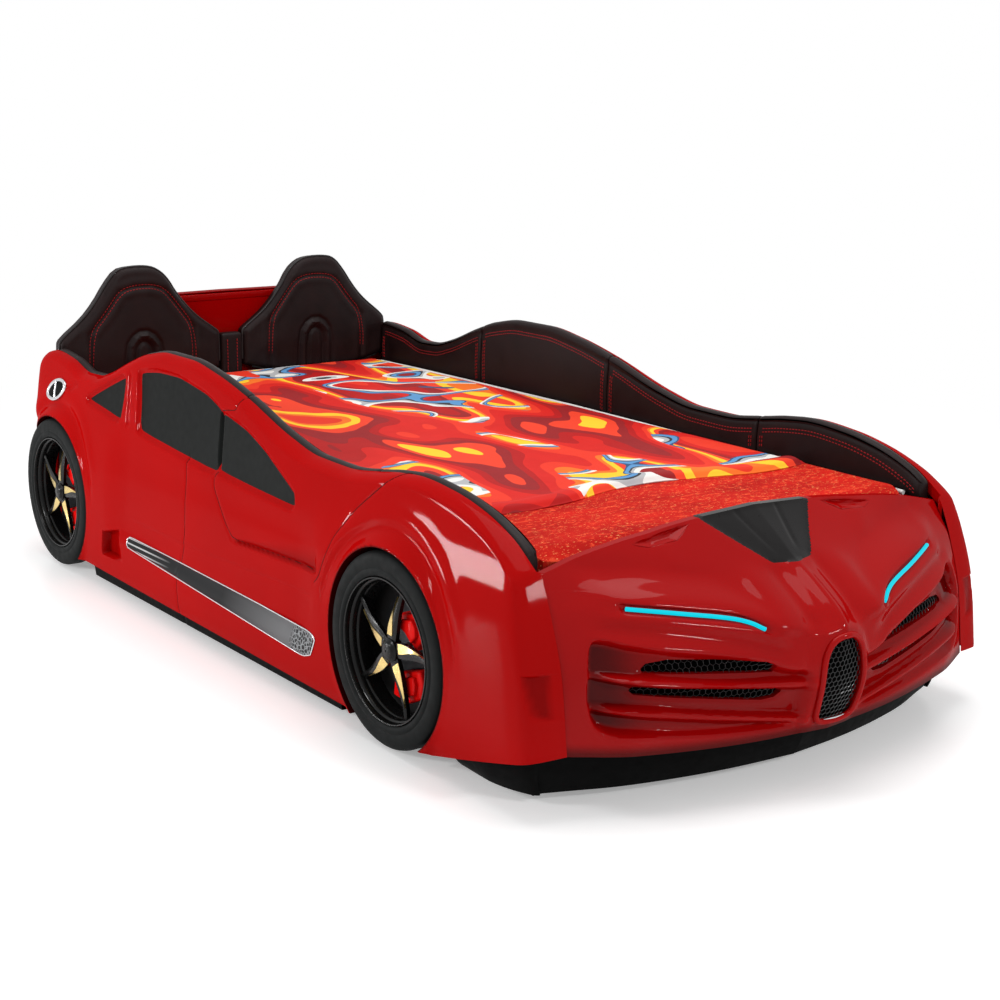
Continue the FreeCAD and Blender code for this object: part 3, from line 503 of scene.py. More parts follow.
def choose_faces(piece: bpy.types.Object, mask: np.ndarray) -> None:
    """Selects some faces of a piece and nothing else."""
    with editing(piece, "FACE", "DESELECT"):
        pass
    piece.data.polygons.foreach_set("select", mask)


def drop_faces(piece: bpy.types.Object, mask: np.ndarray) -> None:
    """Deletes some faces of a piece."""
    if not mask.any():
        return
    choose_faces(piece, mask)
    with editing(piece):
        bpy.ops.mesh.delete(type="FACE")


def split_off(piece: bpy.types.Object, mask: np.ndarray, name: str) -> bpy.types.Object:
    """Separates some faces of a piece into a new one."""
    choose_faces(piece, mask)
    before = set(bpy.data.objects)
    with editing(piece):
        bpy.ops.mesh.separate(type="SELECTED")
    made = next(o for o in bpy.data.objects if o not in before)
    pick(made)
    return named(name)


def turn_in(piece: bpy.types.Object, chosen: Callable[[np.ndarray], np.ndarray],
            step: tuple[float, float, float]) -> None:
    """Extrudes open edges of a piece, as the return of a moulded edge.

    Args:
        piece: The shell.
        chosen: Says which edge middles, in millimetres, are taken.
        step: How far the edge is drawn, in millimetres.
    """
    data = piece.data
    co = points_of(data) / MM
    edges = np.zeros(len(data.edges) * 2, int)
    data.edges.foreach_get("vertices", edges)
    edges = edges.reshape(-1, 2)
    used = np.zeros(len(data.loops), int)
    data.loops.foreach_get("edge_index", used)
    count = np.bincount(used, minlength=len(edges))
    take = (count == 1) & chosen((co[edges[:, 0]] + co[edges[:, 1]]) / 2)
    with editing(piece, "EDGE", "DESELECT"):
        pass
    data.edges.foreach_set("select", take)
    with editing(piece):
        bpy.ops.mesh.extrude_edges_move(TRANSFORM_OT_translate={"value": tuple(v * MM for v in step)})


def whole_rim(middles: np.ndarray) -> np.ndarray:
    """Takes every open edge, for turn_in."""
    return np.ones(len(middles), bool)


def level_floor(piece: bpy.types.Object, low: float) -> None:
    """Levels the open lower rim of a piece at a height and closes it with a face."""
    data = piece.data
    co = points_of(data)
    co[:, 2] = np.where(co[:, 2] < (low + 2.0) * MM, low * MM, co[:, 2])
    data.vertices.foreach_set("co", co.ravel())
    data.update()
    with editing(piece, "EDGE", "DESELECT"):
        bpy.ops.mesh.select_non_manifold()
        bpy.ops.mesh.edge_face_add()
    outward(piece)


def honeycomb(name: str, outline: Points, cell: float, depth: Field, bar: float = 1.5) -> bpy.types.Object:
    """A mesh insert of six-sided openings.

    Args:
        name: Name of the piece.
        outline: Closed outline as x and z.
        cell: Distance between openings.
        depth: Y of the insert at x and z.
        bar: Width of the bars.

    Returns:
        The mesh object.
    """
    rows = np.array(outline)
    low, high = rows.min(0), rows.max(0)
    r = cell / math.sqrt(3)
    seen: dict[tuple[int, int], int] = {}
    points: list[tuple[float, float, float]] = []
    faces = []
    for k in range(int((high[1] - low[1]) / (1.5 * r)) + 2):
        z = low[1] + k * 1.5 * r
        for i in range(int((high[0] - low[0]) / cell) + 2):
            x = low[0] + (i + 0.5 * (k % 2)) * cell
            if not inside(outline, np.array([x]), np.array([z]))[0]:
                continue
            ring = []
            for s in range(6):
                px, pz = x + r * math.sin(math.pi / 3 * s), z + r * math.cos(math.pi / 3 * s)
                key = (round(px * 5), round(pz * 5))
                if key not in seen:
                    seen[key] = len(points)
                    points.append((px, float(depth(np.array([px]), np.array([pz]))[0]), pz))
                ring.append(seen[key])
            faces.append(ring)
    piece = mesh_from(name, np.array(points), faces)
    modify(piece, "WIREFRAME", thickness=bar * MM, use_even_offset=False)
    return piece


# ---------------------------------------------------------------- materials
class Tree:
    """Short calls for building one material's nodes."""

    def __init__(self, name: str) -> None:
        """Starts an empty material."""
        self.material = bpy.data.materials.new(name)
        self.material.use_nodes = True
        self.nodes = self.material.node_tree.nodes
        self.links = self.material.node_tree.links
        self.nodes.clear()
        self.shader = self.add("ShaderNodeBsdfPrincipled")
        self.out = self.add("ShaderNodeOutputMaterial")
        self.links.new(self.shader.outputs[0], self.out.inputs[0])

    def add(self, kind: str, **sockets: object) -> bpy.types.Node:
        """Adds a node; names with a leading underscore set properties, others set or link sockets."""
        node = self.nodes.new(kind)
        for key, value in sockets.items():
            if key.startswith("_"):
                setattr(node, key[1:], value)
                continue
            numbered = key[0] == "i" and key[1:].isdigit()
            socket = node.inputs[int(key[1:]) if numbered else key.replace("_", " ")]
            if isinstance(value, bpy.types.NodeSocket):
                self.links.new(value, socket)
            else:
                socket.default_value = value
        return node

    def place(self, source: str = "Object", scale: tuple[float, float, float] = (1, 1, 1),
              turn: tuple[float, float, float] = (0, 0, 0)) -> bpy.types.NodeSocket:
        """Coordinates on the piece, scaled and turned."""
        where = self.add("ShaderNodeTexCoord")
        return self.add("ShaderNodeMapping", Vector=where.outputs[source], Scale=scale, Rotation=turn).outputs[0]

    def noise(self, vector: bpy.types.NodeSocket, scale: float, detail: float = 3.0,
              rough: float = 0.5) -> bpy.types.NodeSocket:
        """Cloudy texture value."""
        return self.add("ShaderNodeTexNoise", Vector=vector, Scale=scale, Detail=detail,
                        Roughness=rough).outputs[0]

    def math(self, kind: str, a: object, b: object = 0.0) -> bpy.types.NodeSocket:
        """One arithmetic step."""
        return self.add("ShaderNodeMath", _operation=kind, i0=a, i1=b).outputs[0]

    def span(self, value: bpy.types.NodeSocket, low: float, high: float, start: float,
             end: float) -> bpy.types.NodeSocket:
        """Maps a value from one range to another."""
        return self.add("ShaderNodeMapRange", i0=value, i1=low, i2=high, i3=start, i4=end).outputs[0]

    def ramp(self, value: bpy.types.NodeSocket, stops: Sequence[tuple[float, tuple[float, float, float]]],
             hard: bool = False) -> bpy.types.NodeSocket:
        """Colours along a value."""
        node = self.add("ShaderNodeValToRGB", Fac=value)
        node.color_ramp.interpolation = "CONSTANT" if hard else "LINEAR"
        while len(node.color_ramp.elements) < len(stops):
            node.color_ramp.elements.new(0.5)
        for element, (place, colour) in zip(node.color_ramp.elements, stops):
            element.position = place
            element.color = (*colour, 1.0)
        return node.outputs[0]

    def mix(self, share: object, a: object, b: object, kind: str = "MIX") -> bpy.types.NodeSocket:
        """Mixes two colours."""
        node = self.add("ShaderNodeMix", _data_type="RGBA", _blend_type=kind)
        for index, value in ((0, share), (6, a), (7, b)):
            if isinstance(value, bpy.types.NodeSocket):
                self.links.new(value, node.inputs[index])
            elif index == 0:
                node.inputs[0].default_value = value
            else:
                node.inputs[index].default_value = (*value, 1.0)
        return node.outputs[2]

    def bump(self, height: bpy.types.NodeSocket, strength: float, distance: float,
             under: bpy.types.NodeSocket | None = None) -> bpy.types.NodeSocket:
        """Surface relief from a height."""
        node = self.add("ShaderNodeBump", Height=height, Strength=strength, Distance=distance)
        if under is not None:
            self.links.new(under, node.inputs["Normal"])
        return node.outputs[0]

    def set(self, **sockets: object) -> bpy.types.Material:
        """Sets or links sockets of the main shader and returns the material."""
        for key, value in sockets.items():
            socket = self.shader.inputs[key.replace("_", " ")]
            if isinstance(value, bpy.types.NodeSocket):
                self.links.new(value, socket)
            elif isinstance(value, tuple) and len(value) == 3:
                socket.default_value = (*value, 1.0)
            else:
                socket.default_value = value
        return self.material


@dataclass(frozen=True)
class Lacquer:
    """Glossy moulded sheet with a clear coat."""
    name: str
    colour: tuple[float, float, float]
    deep: tuple[float, float, float]
    roughness: float = 0.36
    coat: float = 0.13

    def make(self) -> bpy.types.Material:
        """Builds the material: slight cloudiness, painted shade that darkens the colour where a point attribute
        marks recesses, ripples of the mould and a fine grain.
        """
        t = Tree(self.name)
        where = t.place()
        cloud = t.noise(where, 3.0, 2.0)
        colour = t.mix(t.span(cloud, 0.35, 0.65, 0.0, 1.0), self.deep, self.colour)
        # Painted shade: the point attribute darkens the colour towards near black in recesses, under the bumper and
        # in the wheel arches.
        hollow = t.add("ShaderNodeAttribute", _attribute_name="hollow").outputs["Fac"]
        colour = t.mix(t.span(hollow, 0.0, 1.0, 0.0, 0.9), colour, (0.004, 0.0002, 0.0002))
        ripple = t.bump(t.noise(where, 14.0, 1.0), 0.05, 0.002)
        grain = t.bump(t.noise(where, 900.0, 2.0), 0.03, 0.0002, ripple)
        return t.set(Base_Color=colour, Roughness=self.roughness, Coat_Weight=self.coat, Coat_Roughness=0.05,
                     Coat_IOR=1.5, Normal=grain, Specular_IOR_Level=0.0)


@dataclass(frozen=True)
class Moulded:
    """Plain moulded plastic or rubber with a fine grain."""
    name: str
    colour: tuple[float, float, float]
    roughness: float
    coat: float = 0.0
    grain: float = 0.08
    scale: float = 700.0
    gleam: float = 0.2

    def make(self) -> bpy.types.Material:
        """Builds the material: colour drift, patchy gloss and grain."""
        t = Tree(self.name)
        where = t.place()
        drift = t.noise(where, 9.0, 4.0)
        dark = tuple(c * 0.8 for c in self.colour)
        colour = t.mix(t.span(drift, 0.3, 0.7, 0.0, 1.0), dark, self.colour)
        patches = t.noise(where, 60.0, 4.0)
        rough = t.span(patches, 0.3, 0.7, self.roughness * 0.88, min(self.roughness * 1.12, 1.0))
        relief = t.bump(t.noise(where, self.scale, 3.0), self.grain, 0.0004)
        return t.set(Base_Color=colour, Roughness=rough, Coat_Weight=self.coat, Coat_Roughness=0.08,
                     Normal=relief, Specular_IOR_Level=self.gleam)


@dataclass(frozen=True)
class Metal:
    """Metal or metallised film."""
    name: str
    colour: tuple[float, float, float]
    roughness: float
    stretch: tuple[float, float, float] = (30.0, 4.0, 30.0)

    def make(self) -> bpy.types.Material:
        """Builds the material with fine drawn lines."""
        t = Tree(self.name)
        lines = t.noise(t.place(scale=self.stretch), 22.0, 3.0)
        rough = t.span(lines, 0.3, 0.7, self.roughness * 0.75, self.roughness * 1.3)
        return t.set(Base_Color=t.mix(lines, tuple(c * 0.8 for c in self.colour), self.colour), Metallic=1.0,
                     Roughness=rough, Normal=t.bump(lines, 0.06, 0.0003))


@dataclass(frozen=True)
class Timber:
    """Wood: laminated board or bent birch."""
    name: str
    pale: tuple[float, float, float]
    dark: tuple[float, float, float]
    along: tuple[float, float, float] = (40.0, 3.0, 40.0)
    roughness: float = 0.5

    def make(self) -> bpy.types.Material:
        """Builds the material with streaks along the grain."""
        t = Tree(self.name)
        where = t.place(scale=self.along)
        streak = t.noise(where, 1.6, 6.0, 0.62)
        fine = t.noise(where, 9.0, 3.0)
        colour = t.mix(t.span(streak, 0.35, 0.68, 0.0, 1.0), self.pale, self.dark)
        rough = t.span(fine, 0.3, 0.7, self.roughness * 0.9, self.roughness * 1.15)
        return t.set(Base_Color=colour, Roughness=rough, Normal=t.bump(fine, 0.12, 0.0004))


@dataclass(frozen=True)
class Leatherette:
    """Grained black upholstery."""
    name: str
    colour: tuple[float, float, float]

    def make(self) -> bpy.types.Material:
        """Builds the material: cell grain, soft creases and a dull sheen."""
        t = Tree(self.name)
        where = t.place()
        cells = t.add("ShaderNodeTexVoronoi", Vector=where, Scale=520.0, _feature="F1").outputs[0]
        crease = t.noise(where, 18.0, 5.0, 0.6)
        colour = t.mix(t.span(crease, 0.35, 0.7, 0.0, 1.0), self.colour, tuple(c * 1.7 for c in self.colour))
        relief = t.bump(crease, 0.10, 0.002, t.bump(cells, 0.28, 0.0006))
        rough = t.span(crease, 0.3, 0.7, 0.42, 0.56)
        return t.set(Base_Color=colour, Roughness=rough, Normal=relief, Specular_IOR_Level=0.14)


@dataclass(frozen=True)
class Flecked:
    """Red cotton with a dense scatter of orange and yellow flecks."""
    name: str

    def make(self) -> bpy.types.Material:
        """Builds the material: flecks in two sizes over a red ground, and a weave."""
        t = Tree(self.name)
        where = t.place(scale=(1.0, 2.2, 1.0))
        warp = t.noise(where, 44.0, 4.0, 0.7)
        coarse = t.noise(where, 130.0, 3.0, 0.75)
        ground = t.ramp(t.noise(where, 7.0, 3.0), [(0.3, (0.40, 0.006, 0.004)), (0.7, (0.66, 0.014, 0.007))])
        orange = t.mix(t.span(warp, 0.55, 0.61, 0.0, 1.0), ground, (0.76, 0.06, 0.022))
        yellow = t.mix(t.span(coarse, 0.61, 0.66, 0.0, 0.9), orange, (0.90, 0.40, 0.14))
        weave = t.add("ShaderNodeTexWave", Vector=t.place(), Scale=420.0, Distortion=1.0).outputs[1]
        return t.set(Base_Color=yellow, Roughness=0.85, Specular_IOR_Level=0.1,
                     Normal=t.bump(weave, 0.12, 0.0003))


@dataclass(frozen=True)
class Printed:
    """Printed cotton: swirling bands of flame colours with pale, blue and dark accents."""
    name: str

    def make(self) -> bpy.types.Material:
        """Builds the material from warped bands, blots and thin dark contours."""
        t = Tree(self.name)
        where = t.place()
        swirl = t.noise(t.place(scale=(3.0, 1.15, 1.0), turn=(0, 0, 0.5)), 1.5, 1.5, 0.45)
        second = t.noise(t.place(scale=(2.2, 3.4, 1.0), turn=(0, 0, -0.7)), 1.7, 1.0, 0.4)
        band = t.math("FRACT", t.math("MULTIPLY", swirl, 4.6))
        flames = t.ramp(band, [(0.0, (0.40, 0.006, 0.006)), (0.13, (0.60, 0.012, 0.008)),
                               (0.36, (0.75, 0.035, 0.015)), (0.52, (0.86, 0.16, 0.02)),
                               (0.60, (0.93, 0.56, 0.03)), (0.72, (0.80, 0.05, 0.02)),
                               (0.86, (0.26, 0.010, 0.012))], hard=True)
        pale = t.math("FRACT", t.math("MULTIPLY", second, 5.0))
        accents = t.ramp(pale, [(0.0, (0.80, 0.79, 0.76)), (0.10, (0.42, 0.43, 0.45)),
                                (0.16, (0.03, 0.03, 0.035)), (0.20, (0.10, 0.28, 0.55)),
                                (0.30, (0.03, 0.07, 0.16))], hard=True)
        share = t.math("MULTIPLY", t.math("LESS_THAN", pale, 0.34), t.math("GREATER_THAN", swirl, 0.545))
        colour = t.mix(share, flames, accents)
        fade = t.noise(where, 28.0, 4.0)
        colour = t.mix(t.span(fade, 0.3, 0.75, 0.0, 0.22), colour, (0.95, 0.80, 0.62), "SOFT_LIGHT")
        weave = t.add("ShaderNodeTexWave", Vector=where, Scale=380.0, Distortion=0.8).outputs[1]
        return t.set(Base_Color=colour, Roughness=0.7, Specular_IOR_Level=0.15,
                     Normal=t.bump(weave, 0.08, 0.0003))


@dataclass(frozen=True)
class Glow:
    """Lit lens of a light strip."""
    name: str
    colour: tuple[float, float, float]
    strength: float

    def make(self) -> bpy.types.Material:
        """Builds the material: an even glow with slight hot spots."""
        t = Tree(self.name)
        spots = t.noise(t.place(), 60.0, 1.0)
        glow = t.mix(spots, tuple(c * 0.92 for c in self.colour), self.colour)
        dim = tuple(c * 0.15 for c in self.colour)
        return t.set(Base_Color=dim, Roughness=0.4, Specular_IOR_Level=0.1, Emission_Color=glow,
                     Emission_Strength=self.strength)


@dataclass(frozen=True)
class StripFilm:
    """Self-adhesive sill film: dark at the rear, running to silver with a honeycomb at the front."""
    name: str

    def make(self) -> bpy.types.Material:
        """Builds the material along the strip's length."""
        t = Tree(self.name)
        where = t.add("ShaderNodeSeparateXYZ", Vector=t.place()).outputs
        along = t.span(where[1], 0.06, -0.19, 0.0, 1.0)
        fade = t.ramp(along, [(0.0, (0.003, 0.003, 0.004)), (1.0, (0.13, 0.13, 0.135))])
        cells = t.add("ShaderNodeTexVoronoi", Vector=t.place(), Scale=125.0,
                      _feature="DISTANCE_TO_EDGE").outputs[0]
        net = t.mix(t.span(cells, 0.06, 0.14, 1.0, 0.0), (0.012, 0.012, 0.013), (0.26, 0.27, 0.28))
        front = t.span(where[1], -0.215, -0.235, 0.0, 1.0)
        stripe = t.math("GREATER_THAN", t.math("FRACT", t.math("MULTIPLY", where[2], 95.0)), 0.72)
        lines = t.math("MULTIPLY", stripe, t.span(where[1], 0.30, 0.42, 0.0, 1.0))
        colour = t.mix(lines, t.mix(front, fade, net), (0.45, 0.45, 0.46))
        return t.set(Base_Color=colour, Roughness=0.4, Coat_Weight=0.03, Coat_Roughness=0.12,
                     Specular_IOR_Level=0.06, Normal=t.bump(cells, 0.05, 0.0002))


class Finish(Enum):
    """Every finish of the bed."""
    SIDE_RED = Lacquer("side_red", (0.40, 0.0018, 0.0018), (0.365, 0.0016, 0.0016), coat=0.08)
    # Same red plastic as the sides; its colour is a little darker as painted shade, since the nose gets less light
    # than the sides. Its clear coat is heavier.
    NOSE_RED = Lacquer("nose_red", (0.36, 0.0018, 0.002), (0.33, 0.0015, 0.002), coat=0.2)
    TAIL_RED = Lacquer("tail_red", (0.27, 0.0006, 0.0008), (0.24, 0.0005, 0.0006), coat=0.08)
    SEAM = Moulded("shut_line", (0.030, 0.001, 0.001), 0.6, gleam=0.05)
    GLASS = Moulded("window_film", (0.0075, 0.0085, 0.008), 0.45, 0.0, 0.03, 300.0, 0.03)
    BLACK = Moulded("black_moulding", (0.003, 0.003, 0.003), 0.65, gleam=0.04)
    VOID = Moulded("dark_backing", (0.001, 0.001, 0.001), 0.8, gleam=0.01)
    NET = Moulded("grille_net", (0.030, 0.031, 0.032), 0.4, 0.1, gleam=0.3)
    INSERT = Moulded("hood_film", (0.009, 0.008, 0.008), 0.3, 0.12, 0.04, 500.0, 0.06)
    RUBBER = Moulded("tyre_rubber", (0.008, 0.009, 0.009), 0.6, 0.0, 0.12, 420.0, 0.06)
    RIM = Moulded("rim_gloss", (0.004, 0.004, 0.004), 0.28, 0.14, 0.03, 500.0, 0.1)
    GOLD = Metal("gold_edge", (0.74, 0.56, 0.22), 0.3)
    DISC = Metal("brake_disc", (0.035, 0.035, 0.038), 0.4)
    CALIPER = Lacquer("caliper_red", (0.75, 0.006, 0.005), (0.66, 0.004, 0.004), 0.3)
    SILVER = Metal("silver_trim", (0.66, 0.67, 0.69), 0.2)
    STEEL = Metal("zinc_steel", (0.55, 0.56, 0.58), 0.34)
    PADDING = Leatherette("black_leatherette", (0.007, 0.0028, 0.0028))
    THREAD = Moulded("red_thread", (0.34, 0.010, 0.012), 0.75, 0.0, 0.3, 1500.0)
    PIPING = Moulded("black_piping", (0.018, 0.016, 0.016), 0.42, 0.1, 0.15, 900.0)
    COVER = Moulded("white_piping", (0.80, 0.79, 0.77), 0.8, 0.0, 0.3, 900.0)
    SHEET = Flecked("flecked_cotton")
    SPREAD = Printed("printed_cotton")
    LIGHT = Glow("light_lens", (0.0, 0.50, 0.62), 1.25)
    FILM = StripFilm("sill_film")
    CHIPBOARD = Timber("laminated_board", (0.70, 0.56, 0.40), (0.55, 0.42, 0.28))
    DARK_BOARD = Moulded("dark_edge_board", (0.016, 0.015, 0.015), 0.5, 0.0, 0.2, 250.0)
    BIRCH = Timber("bent_birch", (0.76, 0.60, 0.38), (0.60, 0.44, 0.25), (3.0, 40.0, 40.0), 0.4)


class Palette:
    """Builds each finish once."""

    def __init__(self) -> None:
        """Starts with none built."""
        self.made: dict[Finish, bpy.types.Material] = {}

    def get(self, finish: Finish) -> bpy.types.Material:
        """The material of a finish."""
        if finish not in self.made:
            self.made[finish] = finish.value.make()
        return self.made[finish]

    def dress(self, piece: bpy.types.Object, *finishes: Finish) -> None:
        """Gives a piece its finishes, in the order of its face zones."""
        piece.data.materials.clear()
        for finish in finishes:
            piece.data.materials.append(self.get(finish))


PALETTE = Palette()


def place(piece: bpy.types.Object, body: str, slot: str, finishes: Sequence[Finish],
          stands_for: Sequence[str] = ()) -> None:
    """Dresses a finished piece and ties it to its body.

    Args:
        piece: The finished mesh object.
        body: Body that it rides on.
        slot: Material slot of the record; not used.
        finishes: Its finishes.
        stands_for: Construction nodes that it replaces.
    """
    PALETTE.dress(piece, *finishes)
    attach(piece, body)
    if stands_for:
        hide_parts(*stands_for)
    LOG.info("%s: %d faces", piece.name, len(piece.data.polygons))


class Side(Enum):
    """The bed's two sides."""
    LEFT = 1
    RIGHT = -1

    @property
    def tag(self) -> str:
        """Word used in names."""
        return self.name.lower()


CREST: Points = ((1082, 500), (1017, 512), (928, 504), (829, 482), (769, 484), (699, 501), (586, 543), (510, 567),
                 (400, 583), (300, 583), (190, 569), (64, 541), (-119, 487), (-228, 467), (-333, 465), (-431, 476),
                 (-507, 488), (-581, 494), (-671, 487), (-749, 472), (-835, 441), (-903, 396))


# ---------------------------------------------------------------- side of the body
@dataclass
class SideShell:
    """One side of the moulded body: door and quarter shell, front fender and its dark panes."""
    side: Side
    half_width: float = 553.0
    front_y: float = -979.0
    rear_y: float = 1120.0
    rail_x: float = 484.3
    roll: float = 20.0
    arch_radius: float = 186.0
    hubs: Points = ((FRONT_AXLE, HUB_Z), (REAR_AXLE, HUB_Z))
    columns: int = 700
    rows: int = 124
    roll_rows: int = 9
    pane_depth: float = 8.0
    fall: Points = ((20, 17), (60, 5), (120, 0), (200, 0), (280, 4), (350, 15), (420, 31), (500, 44), (600, 55))
    front_line: Points = ((109, -979), (234, -962), (326, -933), (396, -903))
    tail_line: Points = ((37, 1077), (120, 1106), (250, 1119), (380, 1120), (462, 1110), (500, 1082))
    nose_plan: Points = ((-984, 466), (-979, 478), (-974, 505), (-968, 527), (-958, 543), (-942, 553), (-915, 559),
                         (-870, 563), (-740, 570), (-640, 580))
    tail_plan: Points = ((940, 575), (1040, 545), (1098, 512), (1121, 470))
    panes: Sequence[Points] = (
        ((780, 430), (680, 472), (590, 507), (592, 455), (597, 410), (690, 421)),
        ((519, 526), (505, 460), (495, 402), (300, 388), (118, 376), (126, 440), (133, 501), (200, 522),
         (240, 528), (330, 540), (430, 538)),
        ((131, 498), (124, 440), (116, 382), (-20, 375), (-196, 368), (-192, 390), (-150, 410), (-60, 450),
         (20, 477)))
    fender: Points = ((-545, 640), (-541, 500), (-504, 475), (-420, 411), (-364, 347), (-326, 265), (-306, 246),
                      (-330, 228), (-380, 200), (-380, 0), (-1200, 0), (-1200, 640))
    seams: Sequence[Points] = (
        ((-541, 520), (-538, 496), (-504, 475), (-420, 411), (-364, 347), (-326, 265), (-304, 247)),
        ((48, 545), (64, 512), (104, 507), (130, 501)), ((114, 378), (124, 362), (122, 345), (110, 330), (32, 256),
                                                        (-289, 268)),
        ((251, 386), (240, 224), (262, 160), (275, 38)))
    vent: Points = ((-955, 181), (-967, 171), (-956, 246), (-936, 244))
    cap_at: tuple[float, float] = (951.0, 428.0)
    cap_radii: tuple[float, float] = (50.0, 25.0)
    cap_lean: float = -0.22
    cap_ring: int = 48

    def front(self, z: np.ndarray) -> np.ndarray:
        """Front edge beside the nose."""
        return curve(self.front_line, z)

    def tail(self, z: np.ndarray) -> np.ndarray:
        """Rear edge."""
        return curve(self.tail_line, z)

    def sill(self, y: np.ndarray) -> np.ndarray:
        """Lower edge."""
        return np.interp(y, [-979, -690, 815, 1077], [109, 30, 43, 37])

    def skin(self, y: np.ndarray, z: np.ndarray) -> np.ndarray:
        """Distance from the middle of the outer surface, with its pressed shapes.

        Args:
            y: Places along the bed.
            z: Heights.

        Returns:
            Distances.
        """
        plain = self.half_width - curve(self.fall, z)
        for hub_y, hub_z in self.hubs:
            lip = -1.07 * np.maximum(np.hypot(y - hub_y, z - hub_z) - self.arch_radius - 4.0, 0.0)
            short = plain - self.half_width
            plain = self.half_width + 4.0 * np.log(np.exp(short / 4.0) + np.exp(lip / 4.0))
        nose = curve(self.nose_plan, y - self.front(z) + self.front_y)
        tail = curve(self.tail_plan, y + self.rear_y - self.tail(z))
        k = 7.0
        x = -k * np.log(np.exp(-plain / k) + np.exp(-nose / k) + np.exp(-tail / k))
        doors = ease(-345, -225, y) * ease(640, 520, y)
        step = np.interp(y, [-300, 520], [108, 140])
        x -= 10.0 * doors * ease(step - 6, step + 30, z) * ease(430, 310, z)
        x -= 8.0 * self.wedge(y, z)
        for seam in self.seams:
            x -= 1.3 * bell(gap_to(seam, y, z)[0], 0.0, 4.2)
        mid = np.interp(y, [-290, 240], [222, 200]) - z
        x -= 2.5 * ease(-310, -280, y) * ease(560, 420, y) * ease(-2, 4, mid) * ease(60, 20, mid)
        for pane in self.outlines():
            x -= self.pane_depth * ease(12.0, 0.5, edge_of(pane)(y, z))
        pillar = 556.0 + (z - 460.0) * 0.10
        x -= 5.0 * bell(y, pillar, 7.0) * ease(398, 412, z) * ease(530, 508, z)
        x -= 20.0 * self.scoop(y, z)
        vent = edge_of(self.vent)(y, z)
        x -= 13.0 * ease(1.0, -4.0, vent)
        dimple = edge_of(((905, 440), (850, 462), (836, 452), (880, 433)))(y, z)
        x -= 4.0 * ease(3.0, -6.0, dimple)
        for hub_y, hub_z in self.hubs:
            r = np.hypot(y - hub_y, z - hub_z)
            x -= 3.0 * bell(r, 217.0, 9.0) * ease(180, 260, z)
            x += 3.0 * bell(r, 238.0, 18.0) * ease(230, 330, z)
        return np.minimum(x, self.half_width)

    def wedge(self, y: np.ndarray, z: np.ndarray) -> np.ndarray:
        """Share of the long recess above the lower door seam, deepest at the seam."""
        seam = np.interp(y, [-320, -289, 32], [269, 268, 256])
        top = np.interp(y, [-311, 12], [319, 262])
        share = np.clip((top - z) / np.maximum(top - seam, 3.0), 0, 1)
        return share ** 1.5 * ease(-6.0, 2.0, z - seam) * ease(-318, -300, y) * ease(30, 0, y)

    def scoop(self, y: np.ndarray, z: np.ndarray) -> np.ndarray:
        """Share of the air scoop ahead of the rear wheel, deepest at its rear."""
        signed = edge_of(((540, 92), (655, 88), (645, 143), (565, 164)))(y, z)
        return ease(1.0, -5.0, signed) * ease(530, 620, y)

    def hollows(self, y: np.ndarray, z: np.ndarray) -> np.ndarray:
        """Painted shade of each point: how much darker it is painted in the door recess, the scoop, the vent and
        the wheel arches.
        """
        vent = edge_of(self.vent)(y, z)
        dark = np.maximum(0.45 * self.wedge(y, z), 0.4 * self.scoop(y, z))
        dark = np.maximum(dark, 0.4 * ease(0.5, -3.0, vent))
        for hub_y, hub_z in self.hubs:
            # The arch rims, and the inner walls later drawn in from them, are painted almost black as painted
            # shade.
            dark = np.maximum(dark, 1.0 * (np.hypot(y - hub_y, z - hub_z) < self.arch_radius + 1.2))
        return dark

    def outlines(self) -> list[list[tuple[float, float]]]:
        """Pane outlines with rounded corners."""
        return [soften(pane, 2, share=0.10) for pane in self.panes]

    def grid(self) -> tuple[Relief, np.ndarray]:
        """The fine grid over the side view.

        Returns:
            The grid of y and z, and how far each point has turned over the rail.
        """
        u = np.linspace(0, 1, self.columns)[:, None]
        w = np.linspace(0, 1, self.rows)[None, :]
        angle = np.linspace(0, math.pi / 2, self.roll_rows + 1)[None, 1:]
        y = self.front_y + (self.rear_y - self.front_y) * u + 0 * w
        y = np.concatenate([y, np.repeat(y[:, -1:], self.roll_rows, 1)], 1)
        for _ in range(6):
            low, high = self.sill(y), curve(CREST, y) - self.roll
            z = np.concatenate([low[:, : self.rows] + (high - low)[:, : self.rows] * w,
                                high[:, self.rows:] + self.roll * np.sin(angle)], 1)
            y = self.front(z) + (self.tail(z) - self.front(z)) * u
        turn = np.concatenate([np.zeros((1, self.rows)), 1 - np.cos(angle)], 1) + 0 * y
        return Relief(y, z), turn

    def rolled(self, x: np.ndarray, turn: np.ndarray) -> np.ndarray:
        """Draws the surface in over the rail: turn is 0 on the side and 1 at the pads."""
        return x - (x - np.minimum(self.rail_x, x - 3.0)) * turn

